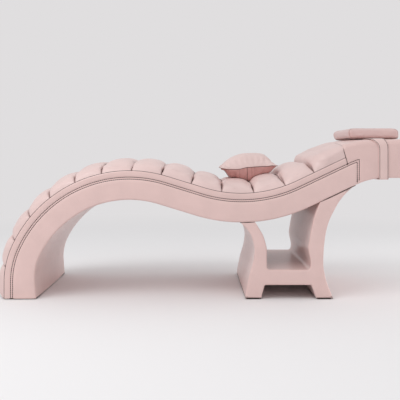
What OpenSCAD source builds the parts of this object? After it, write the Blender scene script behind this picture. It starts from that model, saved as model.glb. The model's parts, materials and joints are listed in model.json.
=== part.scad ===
// Lash bed: a wave shaped upholstered body on its own foot leg and on a separate hourglass base.
// X runs from the foot end to the head end, Y across, Z up. The origin is on the floor, under the
// middle of the bed. Every layer of the body follows one seam line, made of straight runs and arcs,
// at a distance measured square to that line.

/* [Body] */
// Length of the level run at the head end
head_len = 131.35; // [110:0.05:200]
// Width over the side covers
body_w = 650; // [560:10:740]
// Thickness from the seam line to the underside
body_t = 132; // [120:1:150]
// Extra thickness of the foot leg at the floor
foot_flare = 12; // [0:1:24]
// Height over which the foot leg thickens
foot_flare_run = 300; // [200:10:380]
// Height of the head block's top above the seam line
head_rise_h = 43.7; // [38:0.1:60]
// Distance from the seam line down to the double topstitching
stitch_drop = 34; // [26:1:42]

/* [Seam line] */
// Length of the upright start at the floor
foot_rise = 74; // [60:1:90]
// Radius of the leg's lower bend
foot_radius = 393; // [380:1:410]
// Angle of the leg's lower bend
foot_turn = 24.7; // [22:0.1:27]
// Radius of the arch
arch_radius = 580; // [565:1:595]
// Angle of the arch
arch_turn = 82.3; // [80:0.1:84]
// Straight run between the arch and the dip
slope_run = 175; // [160:1:190]
// Radius of the dip
dip_radius = 579; // [565:1:595]
// Angle of the dip
dip_turn = 42.4; // [41:0.1:44]
// Straight run from the dip up to the head block
rise_run = 239; // [230:1:250]
// Radius of the bend over the head block
head_radius = 432; // [400:1:460]

/* [Layers] */
// Thickness of leather with its lining
cover_t = 3; // [2:0.5:4]
// Thickness of the backing cloth under the channels
backing_t = 3; // [2:0.5:4]
// Thickness of the foam on the deck
deck_foam_t = 22; // [15:1:30]
// Thickness of the bent plywood deck
deck_t = 12; // [9:1:15]
// Thickness of the bent plywood underside
belly_t = 6; // [4:1:9]
// Thickness of the foam on the sides
side_foam_t = 12; // [8:1:16]
// Thickness of the plywood ribs, battens and boards
ply_t = 18; // [15:1:21]
// Thickness of the foam on the head end
end_foam_t = 12; // [10:1:16]
// Number of cross batten stations
batten_count = 9; // [6:1:12]
// Diameter of the batten screws
screw_d = 5; // [4:0.5:6]
// Length of the batten screws
screw_len = 50; // [40:5:60]
// Height between the two screws at a batten end
screw_gap = 40; // [30:5:50]

/* [Channels] */
// Height of a channel's crest above the seam line on a straight run
pad_h = 64.5; // [50:0.5:68]
// Crest height gained for each radian that a channel is bent inwards
pad_swell = 14; // [0:1:20]
// Height of the last channel, at the neck
neck_h = 78; // [66:1:82]
// Height of the groove beside the head block
neck_groove_h = 58; // [46:1:62]
// Radius of the head block's long top edges
head_edge_r = 28; // [15:1:40]
// Radius of the head block's top end edge
head_end_r = 34; // [20:1:50]
// Radius of the head block's bottom end edge
head_toe_r = 13; // [8:1:14]
// Length over which the head block's top rises from the last groove
shoulder_run = 80; // [60:1:100]
// Distance of the head block's side seam from the last groove
head_seam_run = 61; // [50:1:75]

/* [Base] */
// Distance of the base from the lowest point of the dip, towards the head
base_offset_len = 18; // [8:1:26]
// Width of the base along the bed, over its feet
base_w = 394; // [380:1:410]
// Height of the shelf's upper face
shelf_h = 133; // [120:1:145]
// Height of the shelf over its covers
shelf_t = 70; // [62:1:80]
// Radius of the corners where the shelf meets the legs
shelf_r = 14; // [8:1:20]
// How far the base's sides stand in from the body's sides
base_inset = 2; // [0:1:10]
// Thickness of the bent panels and boards of the base
panel_t = 8; // [6:1:10]
// Thickness of the cleats at the tops of the legs
cleat_t = 18; // [15:1:20]
// Height of the blocks in the feet
foot_block_h = 30; // [20:1:40]
// Diameter of the bolts through the cleats
bolt_d = 8; // [6:1:10]
// Distance between the outer bolts of a cleat, across the bed
bolt_pitch = 400; // [300:10:440]

/* [Floor] */
// Height of the rubber glides
glide_t = 4; // [3:0.5:6]
// Width of a glide across the bed
glide_w = 40; // [30:5:60]
// How far a glide stands in from the edges
glide_in = 9; // [6:1:14]

/* [Head pillow] */
// Length of the head pillow along the bed
pillow_len = 234; // [200:2:240]
// Width of the head pillow across the bed
pillow_w = 360; // [300:5:420]
// Thickness of the head pillow
pillow_t = 47; // [36:1:60]
// Distance from the head end to the pillow
pillow_back = 30; // [28:1:45]
// Corner radius of the pillow in plan
pillow_r = 26; // [15:1:40]
// Radius of the pillow's upper and lower edges
pillow_edge = 13; // [8:1:16]
// Width of the strap round the head block
strap_w = 43; // [30:1:55]
// Thickness of the strap
strap_t = 3; // [2:0.5:4]
// Distance from the head end to the strap's middle
strap_back = 142; // [130:1:150]
// How far the strap can slide towards the foot end
strap_travel = 15; // [0:1:25]
// Length of the fastening patch on the strap
patch_len = 90; // [60:5:120]

/* [Loose cushion] */
// Side of the square cushion between its seams
cushion_w = 262; // [220:2:300]
// Height of its crown above the seam
cushion_up = 62; // [50:1:80]
// Depth of its belly below the seam
cushion_down = 62; // [40:1:70]
// How far a corner stands out
cushion_ear = 15; // [5:1:25]
// How far a side draws in
cushion_pull = 9; // [0:1:20]
// Distance of the cushion's middle from the groove that it lies on, towards the foot
cushion_offset_len = 15; // [1:1:22]
// Tilt of the cushion, up towards the head
cushion_tilt = 2.5; // [0:0.5:4]
// Thickness of the seam allowance at the rim
cushion_rim_t = 3; // [2:0.5:5]

/* [Hidden] */
// Running clearance between separate pieces
gap = 0.3;
// Clearance between neighbouring channels, and under them
channel_gap = 0.05;
// Overrun of every cut
over = 10;
$fn = 48;

// Widths of the fourteen channels, as shares of their mean
channel_shares = [1.06, 0.92, 0.91, 0.91, 0.96, 0.92, 0.99, 0.99, 1.03, 1.03, 1.06, 1.06, 1.04, 1.11];
// Height of a groove, as a share of the crest beside it, and of the first channel at the floor
groove_share = 0.54;
toe_groove_share = 0.2;
// Places across half a channel, as shares of half the body's width
across_shares = [0.4, 0.66, 0.82, 0.92, 0.98, 1];
// Places along a channel
channel_steps = 8;
// Exponents of a channel's crown across the bed, squarer beside the head block, and along the bed
crown_power = 2.5;
neck_power = 7;
crown_root_share = 0.6;
bulge_power = 2.4;
bulge_root_share = 0.6;

channel_count = len(channel_shares);
low_channels = [for (i = [1:9]) str("channel_pad_0", i)];
high_channels = [for (i = [10:channel_count]) str("channel_pad_", i)];
channel_names = concat(low_channels, high_channels);

// Colours as photographed
leather = [0.87, 0.75, 0.73];
leather_light = [0.91, 0.81, 0.79];
leather_shade = [0.80, 0.66, 0.64];
foam = [0.95, 0.92, 0.80];
plywood = [0.82, 0.68, 0.48];
steel = [0.62, 0.63, 0.65];
rubber = [0.13, 0.12, 0.12];

half_w = body_w / 2;

// The seam line

function deg(r) = r * 180 / PI;
function rad(a) = a * PI / 180;
function total(list, n) = n <= 0 ? 0 : list[n - 1] + total(list, n - 1);
function back(list) = [for (i = [len(list) - 1:-1:0]) list[i]];
function flat(lists) = [for (l = lists) for (v = l) v];

// The head block is level, so its bend takes up whatever the others leave
head_turn = 90 - foot_turn - arch_turn + dip_turn;
// Length and curvature of each run
runs = [
    [foot_rise, 0],
    [foot_radius * rad(foot_turn), -1 / foot_radius],
    [arch_radius * rad(arch_turn), -1 / arch_radius],
    [slope_run, 0],
    [dip_radius * rad(dip_turn), 1 / dip_radius],
    [rise_run, 0],
    [head_radius * rad(head_turn), -1 / head_radius],
];
run_lengths = [for (r = runs) r[0]];
// Place and direction [x, z, angle] after a run that starts at p
function travel(p, l, c) = c == 0
    ? [p[0] + l * cos(p[2]), p[1] + l * sin(p[2]), p[2]]
    : let (a = p[2] + deg(l * c)) [p[0] + (sin(a) - sin(p[2])) / c, p[1] - (cos(a) - cos(p[2])) / c, a];
function knot(k) = k == 0 ? [0, glide_t, 90] : travel(knot(k - 1), runs[k - 1][0], runs[k - 1][1]);
knots = [for (k = [0:len(runs)]) knot(k)];
knot_s = [for (k = [0:len(runs)]) total(run_lengths, k)];

// Distances along the seam line
last_groove_s = knot_s[6];
level_s = knot_s[7];
level_z = knots[7][1];
body_len = knots[7][0] + head_len;
head_top = level_z + head_rise_h;
end_s = level_s + head_len;
cover_end_s = end_s - cover_t;
board_end_s = cover_end_s - end_foam_t;
board_start_s = board_end_s - ply_t;

function place(s) =
    let (found = [for (k = [0:len(runs)]) if (knot_s[k] <= s) k])
    let (k = len(found) == 0 ? 0 : found[len(found) - 1])
    travel(knots[k], s - knot_s[k], k < len(runs) ? runs[k][1] : 0);
// The point at height d above the seam line, square to it
function off(s, d) = let (p = place(s)) [p[0] - d * sin(p[2]), p[1] + d * cos(p[2])];
function thickness(s) = body_t + foot_flare * pow(max(0, 1 - s / foot_flare_run), 2);

// Channel boundaries and the stations that all layers share
mean_channel = last_groove_s / total(channel_shares, channel_count);
bounds = [for (i = [0:channel_count]) mean_channel * total(channel_shares, i)];
head_steps = 10;
stations = concat(
    flat([for (i = [0:channel_count - 1]) [for (j = [0:channel_steps - 1])
        bounds[i] + (bounds[i + 1] - bounds[i]) * j / channel_steps]]),
    [for (j = [0:head_steps]) last_groove_s + (level_s - last_groove_s) * j / head_steps]);
function between(s0, s1) = concat([s0], [for (s = stations) if (s > s0 && s < s1) s], [s1]);

// A level is [0, depth below the seam line] or [1, height above the underside]
function height_of(level, s) = level[0] == 0 ? -level[1] : level[1] - thickness(s);
function edge(level, s0, s1) = [for (s = between(s0, s1)) off(s, height_of(level, s))];
seam = [0, 0];
function below(d) = [0, d];
function above_belly(d) = [1, d];

// Levels of the layers
foam_top = below(backing_t);
deck_top = below(backing_t + deck_foam_t);
rib_top = below(backing_t + deck_foam_t + deck_t);
cover_bottom = above_belly(0);
belly_bottom = above_belly(cover_t);
rib_bottom = above_belly(cover_t + belly_t);
stitch_level = below(stitch_drop);

module layer(upper, lower, s0, s1)
    polygon(concat(edge(upper, s0, s1), back(edge(lower, s0, s1))));

// Extrudes an X-Z outline across the bed from y0 to y1
module across(y0, y1)
    translate([0, y1, 0]) rotate([90, 0, 0]) linear_extrude(height = y1 - y0) children();
module full(w) across(-w / 2, w / 2) children();
// The near side's outer skin, t thick, whose outside lies at half width w
module near_skin(w, t) across(-w, -w + t) children();
module far() mirror([0, 1, 0]) children();
module place_part() translate([-mid_x, 0, 0]) children();

// The first channel stands ahead of the leg, which moves the middle
crest_x = -max([for (j = [0:channel_steps]) -pad_point(0, j, 0)[0]]);
mid_x = (body_len + crest_x) / 2;

// Half widths of the layers
foam_half = half_w - cover_t;
inner_half = foam_half - side_foam_t;

// Channels

function turned(s) = rad(place(s)[2]);
function channel_h(i) = i == channel_count - 1 ? neck_h
    : pad_h + pad_swell * (turned(bounds[i + 1]) - turned(bounds[i]));
function side_power(i, u) = i == channel_count - 1 ? crown_power + (neck_power - crown_power) * u : crown_power;
function side_crown(q, power) = pow(max(0, 1 - pow(abs(q), power)), crown_root_share);
function bulge(u) = pow(max(0, 1 - pow(abs(2 * u - 1), bulge_power)), bulge_root_share);
function start_groove_share(i) = i == 0 ? toe_groove_share : groove_share;
function end_groove_share(i) = i == channel_count - 1 ? neck_groove_h / neck_h : groove_share;
all_across_shares = concat(back([for (q = across_shares) -q]), [0], across_shares);
// Point j along channel i, at share q of the half width
function pad_point(i, j, q) =
    let (u = j / channel_steps, at = bounds[i] + (bounds[i + 1] - bounds[i]) * u, in = channel_gap / 2)
    let (s = min(max(at, bounds[i] + in), bounds[i + 1] - in))
    let (g = start_groove_share(i) + (end_groove_share(i) - start_groove_share(i)) * u)
    let (d = channel_h(i) * side_crown(q, side_power(i, u)) * (g + (1 - g) * bulge(u)), p = off(s, d + channel_gap))
    [p[0], q * half_w, p[1]];

module channel_pad(i) {
    points = [for (j = [0:channel_steps]) for (q = all_across_shares) pad_point(i, j, q)];
    n = len(all_across_shares);
    last = n - 1;
    top = [for (j = [0:channel_steps - 1]) for (k = [0:last - 1]) for (f = [
        [j * n + k, j * n + k + 1, (j + 1) * n + k + 1],
        [j * n + k, (j + 1) * n + k + 1, (j + 1) * n + k]]) f];
    bottom = [for (j = [0:channel_steps - 1]) for (f = [
        [j * n, (j + 1) * n, (j + 1) * n + last],
        [j * n, (j + 1) * n + last, j * n + last]]) f];
    e = channel_steps * n;
    ends = [for (k = [1:last - 1]) for (f = [[0, k + 1, k], [e, e + k, e + k + 1]]) f];
    place_part() color(leather_light) polyhedron(points, concat(top, bottom, ends));
}

// Body

module channel_backing() place_part() color(foam)
    full(2 * foam_half) layer(seam, foam_top, 0, board_end_s);
module deck_foam() place_part() color(foam)
    full(2 * inner_half) layer(foam_top, deck_top, 0, board_start_s);
module deck_panel() place_part() color(plywood)
    full(2 * inner_half) layer(deck_top, rib_top, 0, board_start_s);
module belly_panel() place_part() color(plywood) difference() {
    full(2 * inner_half) layer(rib_bottom, belly_bottom, 0, board_start_s);
    bolt_holes();
}
module underside_cover() place_part() color(leather) difference() {
    full(2 * foam_half) intersection() {
        layer(belly_bottom, cover_bottom, 0, end_s);
        left_of(head_seam_x);
    }
    bolt_holes();
}
module foot_board() place_part() color(plywood)
    full(2 * inner_half) layer(rib_top, rib_bottom, 0, ply_t);
module head_end_board() place_part() color(plywood)
    full(2 * inner_half) layer(foam_top, belly_bottom, board_start_s, board_end_s);

module rib_outline() layer(rib_top, rib_bottom, ply_t, board_start_s);
module side_rib() difference() {
    across(-inner_half, -inner_half + ply_t) rib_outline();
    batten_screw_shapes(screw_d);
}
module rib_near() place_part() color(plywood) side_rib();
module rib_far() place_part() color(plywood) far() side_rib();
module rib_centre() place_part() color(plywood) full(ply_t) rib_outline();

// Battens stand square to the seam line between the ribs
batten_from_s = ply_t * 3;
function batten_s(i) = batten_from_s
    + (board_start_s - 2 * batten_from_s) * i / (batten_count - 1);
batten_depth = (rib_top[1] + body_t - cover_t - belly_t) / 2;
module batten(i) near_bay() intersection() {
    layer(rib_top, rib_bottom, 0, board_start_s);
    at_station(batten_s(i), -batten_depth) square([ply_t, body_t], center = true);
}
module near_bay() across(-inner_half + ply_t, -ply_t / 2) children();
module at_station(s, d) translate(off(s, d)) rotate(place(s)[2]) children();
module cross_battens() place_part() color(plywood) for (i = [0:batten_count - 1]) {
    batten_with_holes(i);
    far() batten_with_holes(i);
}
module batten_with_holes(i) difference() {
    batten(i);
    batten_screw_shapes(screw_d);
}

// Countersunk screws through the near rib into each batten
screw_head_d = 2 * screw_d;
module batten_screw(s, d, shank_d) {
    p = off(s, d);
    translate([p[0], -inner_half, p[1]]) rotate([-90, 0, 0]) {
        cylinder(h = screw_len, d = shank_d);
        cylinder(h = screw_head_d / 2, d1 = screw_head_d, d2 = 0);
    }
}
module batten_screw_shapes(shank_d) for (i = [0:batten_count - 1]) for (side = [-0.5, 0.5])
    batten_screw(batten_s(i), -batten_depth + side * screw_gap, shank_d);
module batten_screws() place_part() color(steel) {
    batten_screw_shapes(screw_d);
    far() batten_screw_shapes(screw_d);
}

module side_foam() near_skin(foam_half, side_foam_t) layer(foam_top, belly_bottom, 0, board_end_s);
module side_foam_near() place_part() color(foam) side_foam();
module side_foam_far() place_part() color(foam) far() side_foam();
module side_band() near_skin(half_w, cover_t) layer(seam, stitch_level, 0, last_groove_s);
module side_band_near() place_part() color(leather) side_band();
module side_band_far() place_part() color(leather) far() side_band();
// The lower panel ends in an upright seam on the head block
head_seam_x = knots[6][0] + head_seam_run;
module left_of(x) translate([x - 2 * body_len, -body_len]) square([2 * body_len, 3 * body_len]);
module side_panel() near_skin(half_w, cover_t) intersection() {
    layer(stitch_level, cover_bottom, 0, end_s);
    left_of(head_seam_x);
}
module side_panel_near() place_part() color(leather) side_panel();
module side_panel_far() place_part() color(leather) far() side_panel();

// Head block

function arc(c, r, a0, a1, n) = [for (i = [0:n]) let (a = a0 + (a1 - a0) * i / n) c + r * [cos(a), sin(a)]];
function bezier(a, b, c, d, n) = [for (i = [0:n]) let (t = i / n)
    pow(1 - t, 3) * a + 3 * pow(1 - t, 2) * t * b + 3 * (1 - t) * pow(t, 2) * c + pow(t, 3) * d];
head_corner_steps = 6;
shoulder_steps = 8;
// Control points of the shoulder, as shares of its run and rise
shoulder_share_a = [0.12, 0.8];
shoulder_share_b = [0.4, 1];
// Side outline of the head block, drawn in by t along its top, end and underside, and drawn out
// by lead towards the last groove
function head_points(t, lead) =
    let (g = off(last_groove_s, neck_groove_h - t), top = head_top - t, x = body_len - t)
    let (rise = [shoulder_run, top - g[1]], low = level_z - body_t + t)
    let (r = head_end_r - t, q = head_toe_r - t)
    concat(
        lead > 0 ? [off(last_groove_s - lead, neck_groove_h - t)] : [],
        bezier(g, g + [rise[0] * shoulder_share_a[0], rise[1] * shoulder_share_a[1]],
            g + [rise[0] * shoulder_share_b[0], rise[1] * shoulder_share_b[1]], g + rise, shoulder_steps),
        arc([x - r, top - r], r, 90, 0, head_corner_steps),
        arc([x - q, low + q], q, 0, -90, head_corner_steps),
        back(edge(above_belly(t), last_groove_s - lead, level_s)));
// Cross section of the head block, drawn in by t, with rounded long edges at the top
module head_section(t) {
    w = half_w - t;
    inner = half_w - head_edge_r;
    translate([-w, 0]) square([2 * w, head_top - head_edge_r]);
    translate([-inner, 0]) square([2 * inner, head_top - t]);
    for (side = [-1, 1]) translate([side * inner, head_top - head_edge_r]) circle(r = head_edge_r - t);
}
module head_solid(t, lead = 0) intersection() {
    full(body_w - 2 * t) polygon(head_points(t, lead));
    rotate([90, 0, 90]) linear_extrude(height = body_len + over) head_section(t);
}
module above_seam(s0) full(body_w + 2 * over)
    polygon(concat(edge(seam, s0, end_s + over), [[body_len + over, head_top + over],
        off(s0, head_top)]));
module head_pad() place_part() color(foam) intersection() {
    head_solid(cover_t);
    above_seam(last_groove_s);
}
module head_end_foam() place_part() color(foam) intersection() {
    head_solid(cover_t);
    full(2 * foam_half) layer(seam, belly_bottom, board_end_s, end_s);
}
module head_cover() place_part() color(leather_light) difference() {
    head_solid(0);
    head_solid(cover_t, over);
    full(body_w + over) intersection() {
        layer(stitch_level, above_belly(-over), last_groove_s - over, end_s);
        left_of(head_seam_x);
    }
}

// Base: the outline is cut from one set of curves, drawn in by t for the inner layers

// Points of the legs' curves from the floor up, as shares of the base's width and the leg's height
low_outer_shares = [[0, 0], [0.008, 0.1], [0.045, 0.3], [0.09, 0.48], [0.105, 0.64], [0.08, 0.78],
    [0.04, 0.87], [-0.06, 1], [-0.12, 1.06]];
low_inner_shares = [[0.246, 0.38], [0.246, 0.5], [0.245, 0.64], [0.232, 0.72], [0.2, 0.83],
    [0.165, 0.9], [0.11, 1], [0.04, 1.1]];
high_inner_shares = [[0.742, 0.26], [0.745, 0.33], [0.728, 0.4], [0.72, 0.45], [0.726, 0.49], [0.749, 0.6],
    [0.782, 0.71], [0.805, 0.77], [0.85, 0.855], [0.91, 0.94], [0.96, 1]];
high_outer_shares = [[1, 0], [0.98, 0.05], [0.93, 0.15], [0.9, 0.25], [0.893, 0.33], [0.902, 0.47],
    [0.926, 0.6], [0.964, 0.7], [1.02, 0.79], [1.08, 0.87], [1.16, 0.945], [1.25, 1.01]];
// Widths and slope of the feet, as shares of the base's width
low_foot_share = 0.18;
low_foot_top_share = 0.222;
high_foot_share = 0.81;
high_foot_top_share = 0.755;
curve_steps = 3;

function curve_point(p, i, t) =
    let (n = len(p) - 1, a = p[max(i - 1, 0)], b = p[i], c = p[min(i + 1, n)], d = p[min(i + 2, n)])
    (2 * b + (c - a) * t + (2 * a - 5 * b + 4 * c - d) * pow(t, 2) + (3 * b - a - 3 * c + d) * pow(t, 3)) / 2;
function smooth(p) = concat(
    [for (i = [0:len(p) - 2]) for (j = [0:curve_steps - 1]) curve_point(p, i, j / curve_steps)], [p[len(p) - 1]]);
function leg_curve(shares, h) = smooth([for (q = shares) [base_at + q[0] * base_w, glide_t + q[1] * (h - glide_t)]]);
// Moves a curve to its right by t
function shifted(p, t) = [for (i = [0:len(p) - 1])
    let (v = p[min(i + 1, len(p) - 1)] - p[max(i - 1, 0)]) p[i] + [v[1], -v[0]] * t / norm(v)];
// The base stands by the lowest point of the dip, and its legs reach up to the underside
base_at = knots[4][0] - dip_radius * sin(knots[4][2]) + base_offset_len;
// Places where the legs' curves reach the underside, as shares of the base's width
low_reach_share = 0.051;
high_reach_share = 1.225;
function under_x(s) = off(s, -thickness(s))[0];
// Distance along the seam line at which the underside reaches x
function under_s(x) =
    let (i = [for (j = [0:len(stations) - 2]) if (under_x(stations[j]) < x && under_x(stations[j + 1]) >= x) j][0])
    let (a = under_x(stations[i]), b = under_x(stations[i + 1]))
    stations[i] + (stations[i + 1] - stations[i]) * (x - a) / (b - a);
function under_z(x) = x >= knots[7][0] ? level_z - body_t : let (s = under_s(x)) off(s, -thickness(s))[1];
low_leg_h = under_z(base_at + low_reach_share * base_w);
high_leg_h = under_z(base_at + high_reach_share * base_w);
low_outer = leg_curve(low_outer_shares, low_leg_h);
low_inner = leg_curve(low_inner_shares, low_leg_h);
high_inner = leg_curve(high_inner_shares, high_leg_h);
high_outer = leg_curve(high_outer_shares, high_leg_h);

// Everything under the body, which the base is cut to
module body_shadow(lift)
    polygon(concat(edge(above_belly(-lift), 0, end_s), [[body_len, 2 * body_len], [0, 2 * body_len]]));
// The legs and the shelf as one outline, with the compartment open to the body above
module base_outline(t) difference() {
    polygon(concat(shifted(low_outer, t), back(shifted(high_outer, -t))));
    compartment(t);
    under_shelf(t);
    body_shadow(gap);
    translate([0, -over]) square([2 * body_len, glide_t + over]);
}
// The compartment's outline grows by t
module compartment(t) {
    left = shifted(low_inner, -t);
    right = shifted(high_inner, t);
    floor_z = shelf_h - t;
    r = shelf_r + t;
    x0 = left[0][0];
    x1 = right[0][0];
    polygon(concat(back(arc([x0 + r, floor_z + r], r, 180, 270, head_corner_steps)),
        [for (p = left) if (p[1] > floor_z + r) p], back([for (p = right) if (p[1] > floor_z + r) p]),
        back(arc([x1 - r, floor_z + r], r, 270, 360, head_corner_steps))));
}
module under_shelf(t) {
    low = [base_at + low_foot_share * base_w, base_at + high_foot_share * base_w];
    high = [base_at + low_foot_top_share * base_w, base_at + high_foot_top_share * base_w];
    polygon([[low[0] - t, glide_t], [high[0] - t, shelf_h - shelf_t + t],
        [high[1] + t, shelf_h - shelf_t + t], [low[1] + t, glide_t], [low[1] + t, -over], [low[0] - t, -over]]);
}
base_half = half_w - base_inset;
frame_t = cover_t + panel_t;
base_wrap_w = 2 * (base_half - cover_t);
// Cuts a base piece to the space between the floor and the body
module base_trim() difference() {
    children();
    body_shadow(gap);
    translate([0, -over]) square([2 * body_len, glide_t + over]);
}
// Strips between two inward distances: along a leg's outer curve, round the compartment, and
// under the shelf
module leg_strip(curve, t0, t1) full(base_wrap_w) base_trim()
    polygon(concat(shifted(curve, t0), back(shifted(curve, t1))));
module lining_strip(t0, t1) full(base_wrap_w) base_trim() difference() {
    compartment(t1);
    compartment(t0);
}
module floor_strip(t0, t1) full(base_wrap_w) base_trim() difference() {
    under_shelf(t1);
    under_shelf(t0);
}
module base_side_cover() near_skin(base_half, cover_t) base_outline(0);
module base_side_cover_near() place_part() color(leather) base_side_cover();
module base_side_cover_far() place_part() color(leather) far() base_side_cover();
module base_wrap_foot_side() place_part() color(leather_shade) leg_strip(low_outer, 0, cover_t);
module base_wrap_head_side() place_part() color(leather_shade) leg_strip(high_outer, 0, -cover_t);
module base_lining_cover() place_part() color(leather_shade) lining_strip(0, cover_t);
module base_floor_cover() place_part() color(leather_shade) floor_strip(0, cover_t);
module base_panel_foot_side() place_part() color(plywood) leg_strip(low_outer, cover_t, frame_t);
module base_panel_head_side() place_part() color(plywood) leg_strip(high_outer, -cover_t, -frame_t);
module base_lining_panel() place_part() color(plywood) lining_strip(cover_t, frame_t);
module base_floor_panel() place_part() color(plywood) floor_strip(cover_t, frame_t);

frame_outer = base_half - cover_t;
frame_inner = frame_outer - ply_t;
module base_frame() across(-frame_outer, -frame_inner) base_outline(frame_t);
module base_frame_near() place_part() color(plywood) base_frame();
module base_frame_far() place_part() color(plywood) far() base_frame();

module base_foot_blocks() place_part() color(plywood) full(2 * frame_inner) intersection() {
    base_outline(frame_t);
    square([2 * body_len, glide_t + foot_block_h]);
}
// Cleats fill the tops of the legs, under the body
module base_cleats() place_part() color(plywood) difference() {
    full(2 * frame_inner) intersection() {
        base_outline(frame_t);
        layer(cover_bottom, above_belly(-cleat_t), 0, end_s);
    }
    bolt_holes();
}
// Places of the bolts along the base, as shares of its width
low_top_share = 0.051;
high_top_share = 0.95;
low_bolt_s = under_s(base_at + low_top_share * base_w);
high_bolt_s = under_s(base_at + high_top_share * base_w);
// Places of the bolts across the bed, as shares of their pitch
bolt_side_shares = [-0.5, -0.17, 0.17, 0.5];
// Sizes of the bolt heads and nuts, as shares of the bolt's diameter
head_t_share = 0.65;
head_d_share = 1.6;
nut_d_share = 2.6;
nut_t_share = 0.25;
bolt_head_t = head_t_share * bolt_d;
bolt_head_d = head_d_share * bolt_d;
nut_d = nut_d_share * bolt_d;
nut_flange_t = nut_t_share * bolt_d;
bolt_len = cleat_t + cover_t + belly_t + bolt_d;
// Stands a shape at a bolt, with its axis square to the underside and its zero there
module at_bolts() for (s = [low_bolt_s, high_bolt_s]) for (side = bolt_side_shares) {
    p = off(s, -thickness(s));
    translate([p[0], side * bolt_pitch, p[1]]) rotate([0, -place(s)[2], 0]) children();
}
module bolt_holes() at_bolts()
    translate([0, 0, -cleat_t - over]) cylinder(h = bolt_len + 2 * over, d = bolt_d + 2 * gap);
module base_bolts() place_part() color(steel) at_bolts() {
    translate([0, 0, -cleat_t]) cylinder(h = bolt_len, d = bolt_d);
    translate([0, 0, -cleat_t - bolt_head_t]) cylinder(h = bolt_head_t, d = bolt_head_d);
}
module base_nuts() place_part() color(steel) at_bolts() translate([0, 0, cover_t + belly_t + gap]) difference() {
    cylinder(h = nut_flange_t, d = nut_d);
    translate([0, 0, -over]) cylinder(h = 2 * over, d = bolt_d + gap);
}

// Glides

module glide(x0, x1) for (side = [-1, 1])
    translate([x0, side * (base_half - glide_in - glide_w / 2) - glide_w / 2, 0])
        cube([x1 - x0, glide_w, glide_t]);
module foot_glides() place_part() color(rubber) glide(glide_in, thickness(0) - glide_in);
module base_glides() place_part() color(rubber) {
    glide(base_at + glide_in, base_at + low_foot_share * base_w - glide_in);
    glide(base_at + high_foot_share * base_w + glide_in, base_at + base_w - glide_in);
}

// Head pillow and its strap

strap_x = body_len - strap_back;
// The strap clears the underside where it is lowest along its slide
strap_under = under_z(strap_x - strap_w / 2 - strap_travel) - gap;
strap_bottom = strap_under - strap_t;
pillow_x = body_len - pillow_back - pillow_len / 2;
pillow_bottom = head_top + gap + strap_t;
// The strap is a loop: the head block's section grown by its clearance and thickness
module loop_section(grow, low) {
    w = half_w + grow;
    r = head_edge_r + grow;
    inner = half_w - head_edge_r;
    translate([-w, low]) square([2 * w, head_top - head_edge_r - low]);
    translate([-inner, low]) square([2 * inner, head_top + grow - low]);
    for (side = [-1, 1]) translate([side * inner, head_top - head_edge_r]) circle(r = r);
}
module head_pillow_strap() place_part() color(leather)
    translate([strap_x - strap_w / 2, 0, 0]) rotate([90, 0, 90]) linear_extrude(height = strap_w) difference() {
        loop_section(gap + strap_t, strap_bottom);
        loop_section(gap, strap_under);
    }
// The patch stands in from the strap's edges by this share of its width
patch_in_share = 0.12;
patch_in = patch_in_share * strap_w;
module strap_patch() place_part() color(rubber)
    translate([strap_x - strap_w / 2 + patch_in, -patch_len / 2, strap_bottom - strap_t / 2])
        cube([strap_w - 2 * patch_in, patch_len, strap_t / 2]);

ring_points = 6;
edge_rings = 4;
// A rounded rectangle in plan, drawn in by t
function plan_ring(t, z) = flat([for (k = [0:3])
    let (sx = k == 0 || k == 3 ? 1 : -1, sy = k < 2 ? 1 : -1, r = pillow_r - t / 2)
    [for (j = [0:ring_points]) let (a = 90 * k + 90 * j / ring_points)
        [sx * (pillow_len / 2 - t - r) + r * cos(a), sy * (pillow_w / 2 - t - r) + r * sin(a), z]]]);
// Rings from the pillow's flat bottom over its rounded edges to its flat top
pillow_rings = concat(
    [for (j = [0:edge_rings]) let (a = 90 * j / edge_rings)
        plan_ring(pillow_edge * (1 - sin(a)), pillow_edge * (1 - cos(a)))],
    [for (j = [0:edge_rings]) let (a = 90 * j / edge_rings)
        plan_ring(pillow_edge * (1 - cos(a)), pillow_t - pillow_edge * (1 - sin(a)))]);
module head_pillow() {
    n = len(pillow_rings[0]);
    m = len(pillow_rings);
    walls = [for (j = [0:m - 2]) for (i = [0:n - 1]) let (k = (i + 1) % n) for (f = [
        [j * n + i, (j + 1) * n + i, (j + 1) * n + k], [j * n + i, (j + 1) * n + k, j * n + k]]) f];
    floor_faces = [for (i = [1:n - 2]) [0, i, i + 1]];
    roof = [for (i = [1:n - 2]) [(m - 1) * n, (m - 1) * n + i + 1, (m - 1) * n + i]];
    place_part() color(leather) translate([pillow_x, 0, pillow_bottom])
        polyhedron(flat(pillow_rings), concat(walls, floor_faces, roof));
}

// Loose cushion

// Places from the middle to the rim, as shares of half the side
cushion_shares = [0.22, 0.44, 0.64, 0.8, 0.92, 1];
cushion_line = concat(back([for (q = cushion_shares) -q]), [0], cushion_shares);
// Exponents of its crown, and of its belly, which is drawn into the groove between two channels
cushion_power = 2.4;
belly_power = 1.15;
cushion_root_share = 0.62;
function cushion_plan(a, b) =
    let (ear = cushion_ear * pow(abs(a * b), 4), half = cushion_w / 2)
    [a * (half + ear - cushion_pull * pow(abs(a), 2) * (1 - pow(b, 2))),
        b * (half + ear - cushion_pull * pow(abs(b), 2) * (1 - pow(a, 2)))];
function cushion_rise(a, b, power) =
    pow((1 - pow(abs(a), power)) * (1 - pow(abs(b), cushion_power)), cushion_root_share);
cushion_rim = cushion_rim_t / 2;
function turn_point(p, a) = [p[0] * cos(a) - p[1] * sin(a), p[0] * sin(a) + p[1] * cos(a)];
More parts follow.
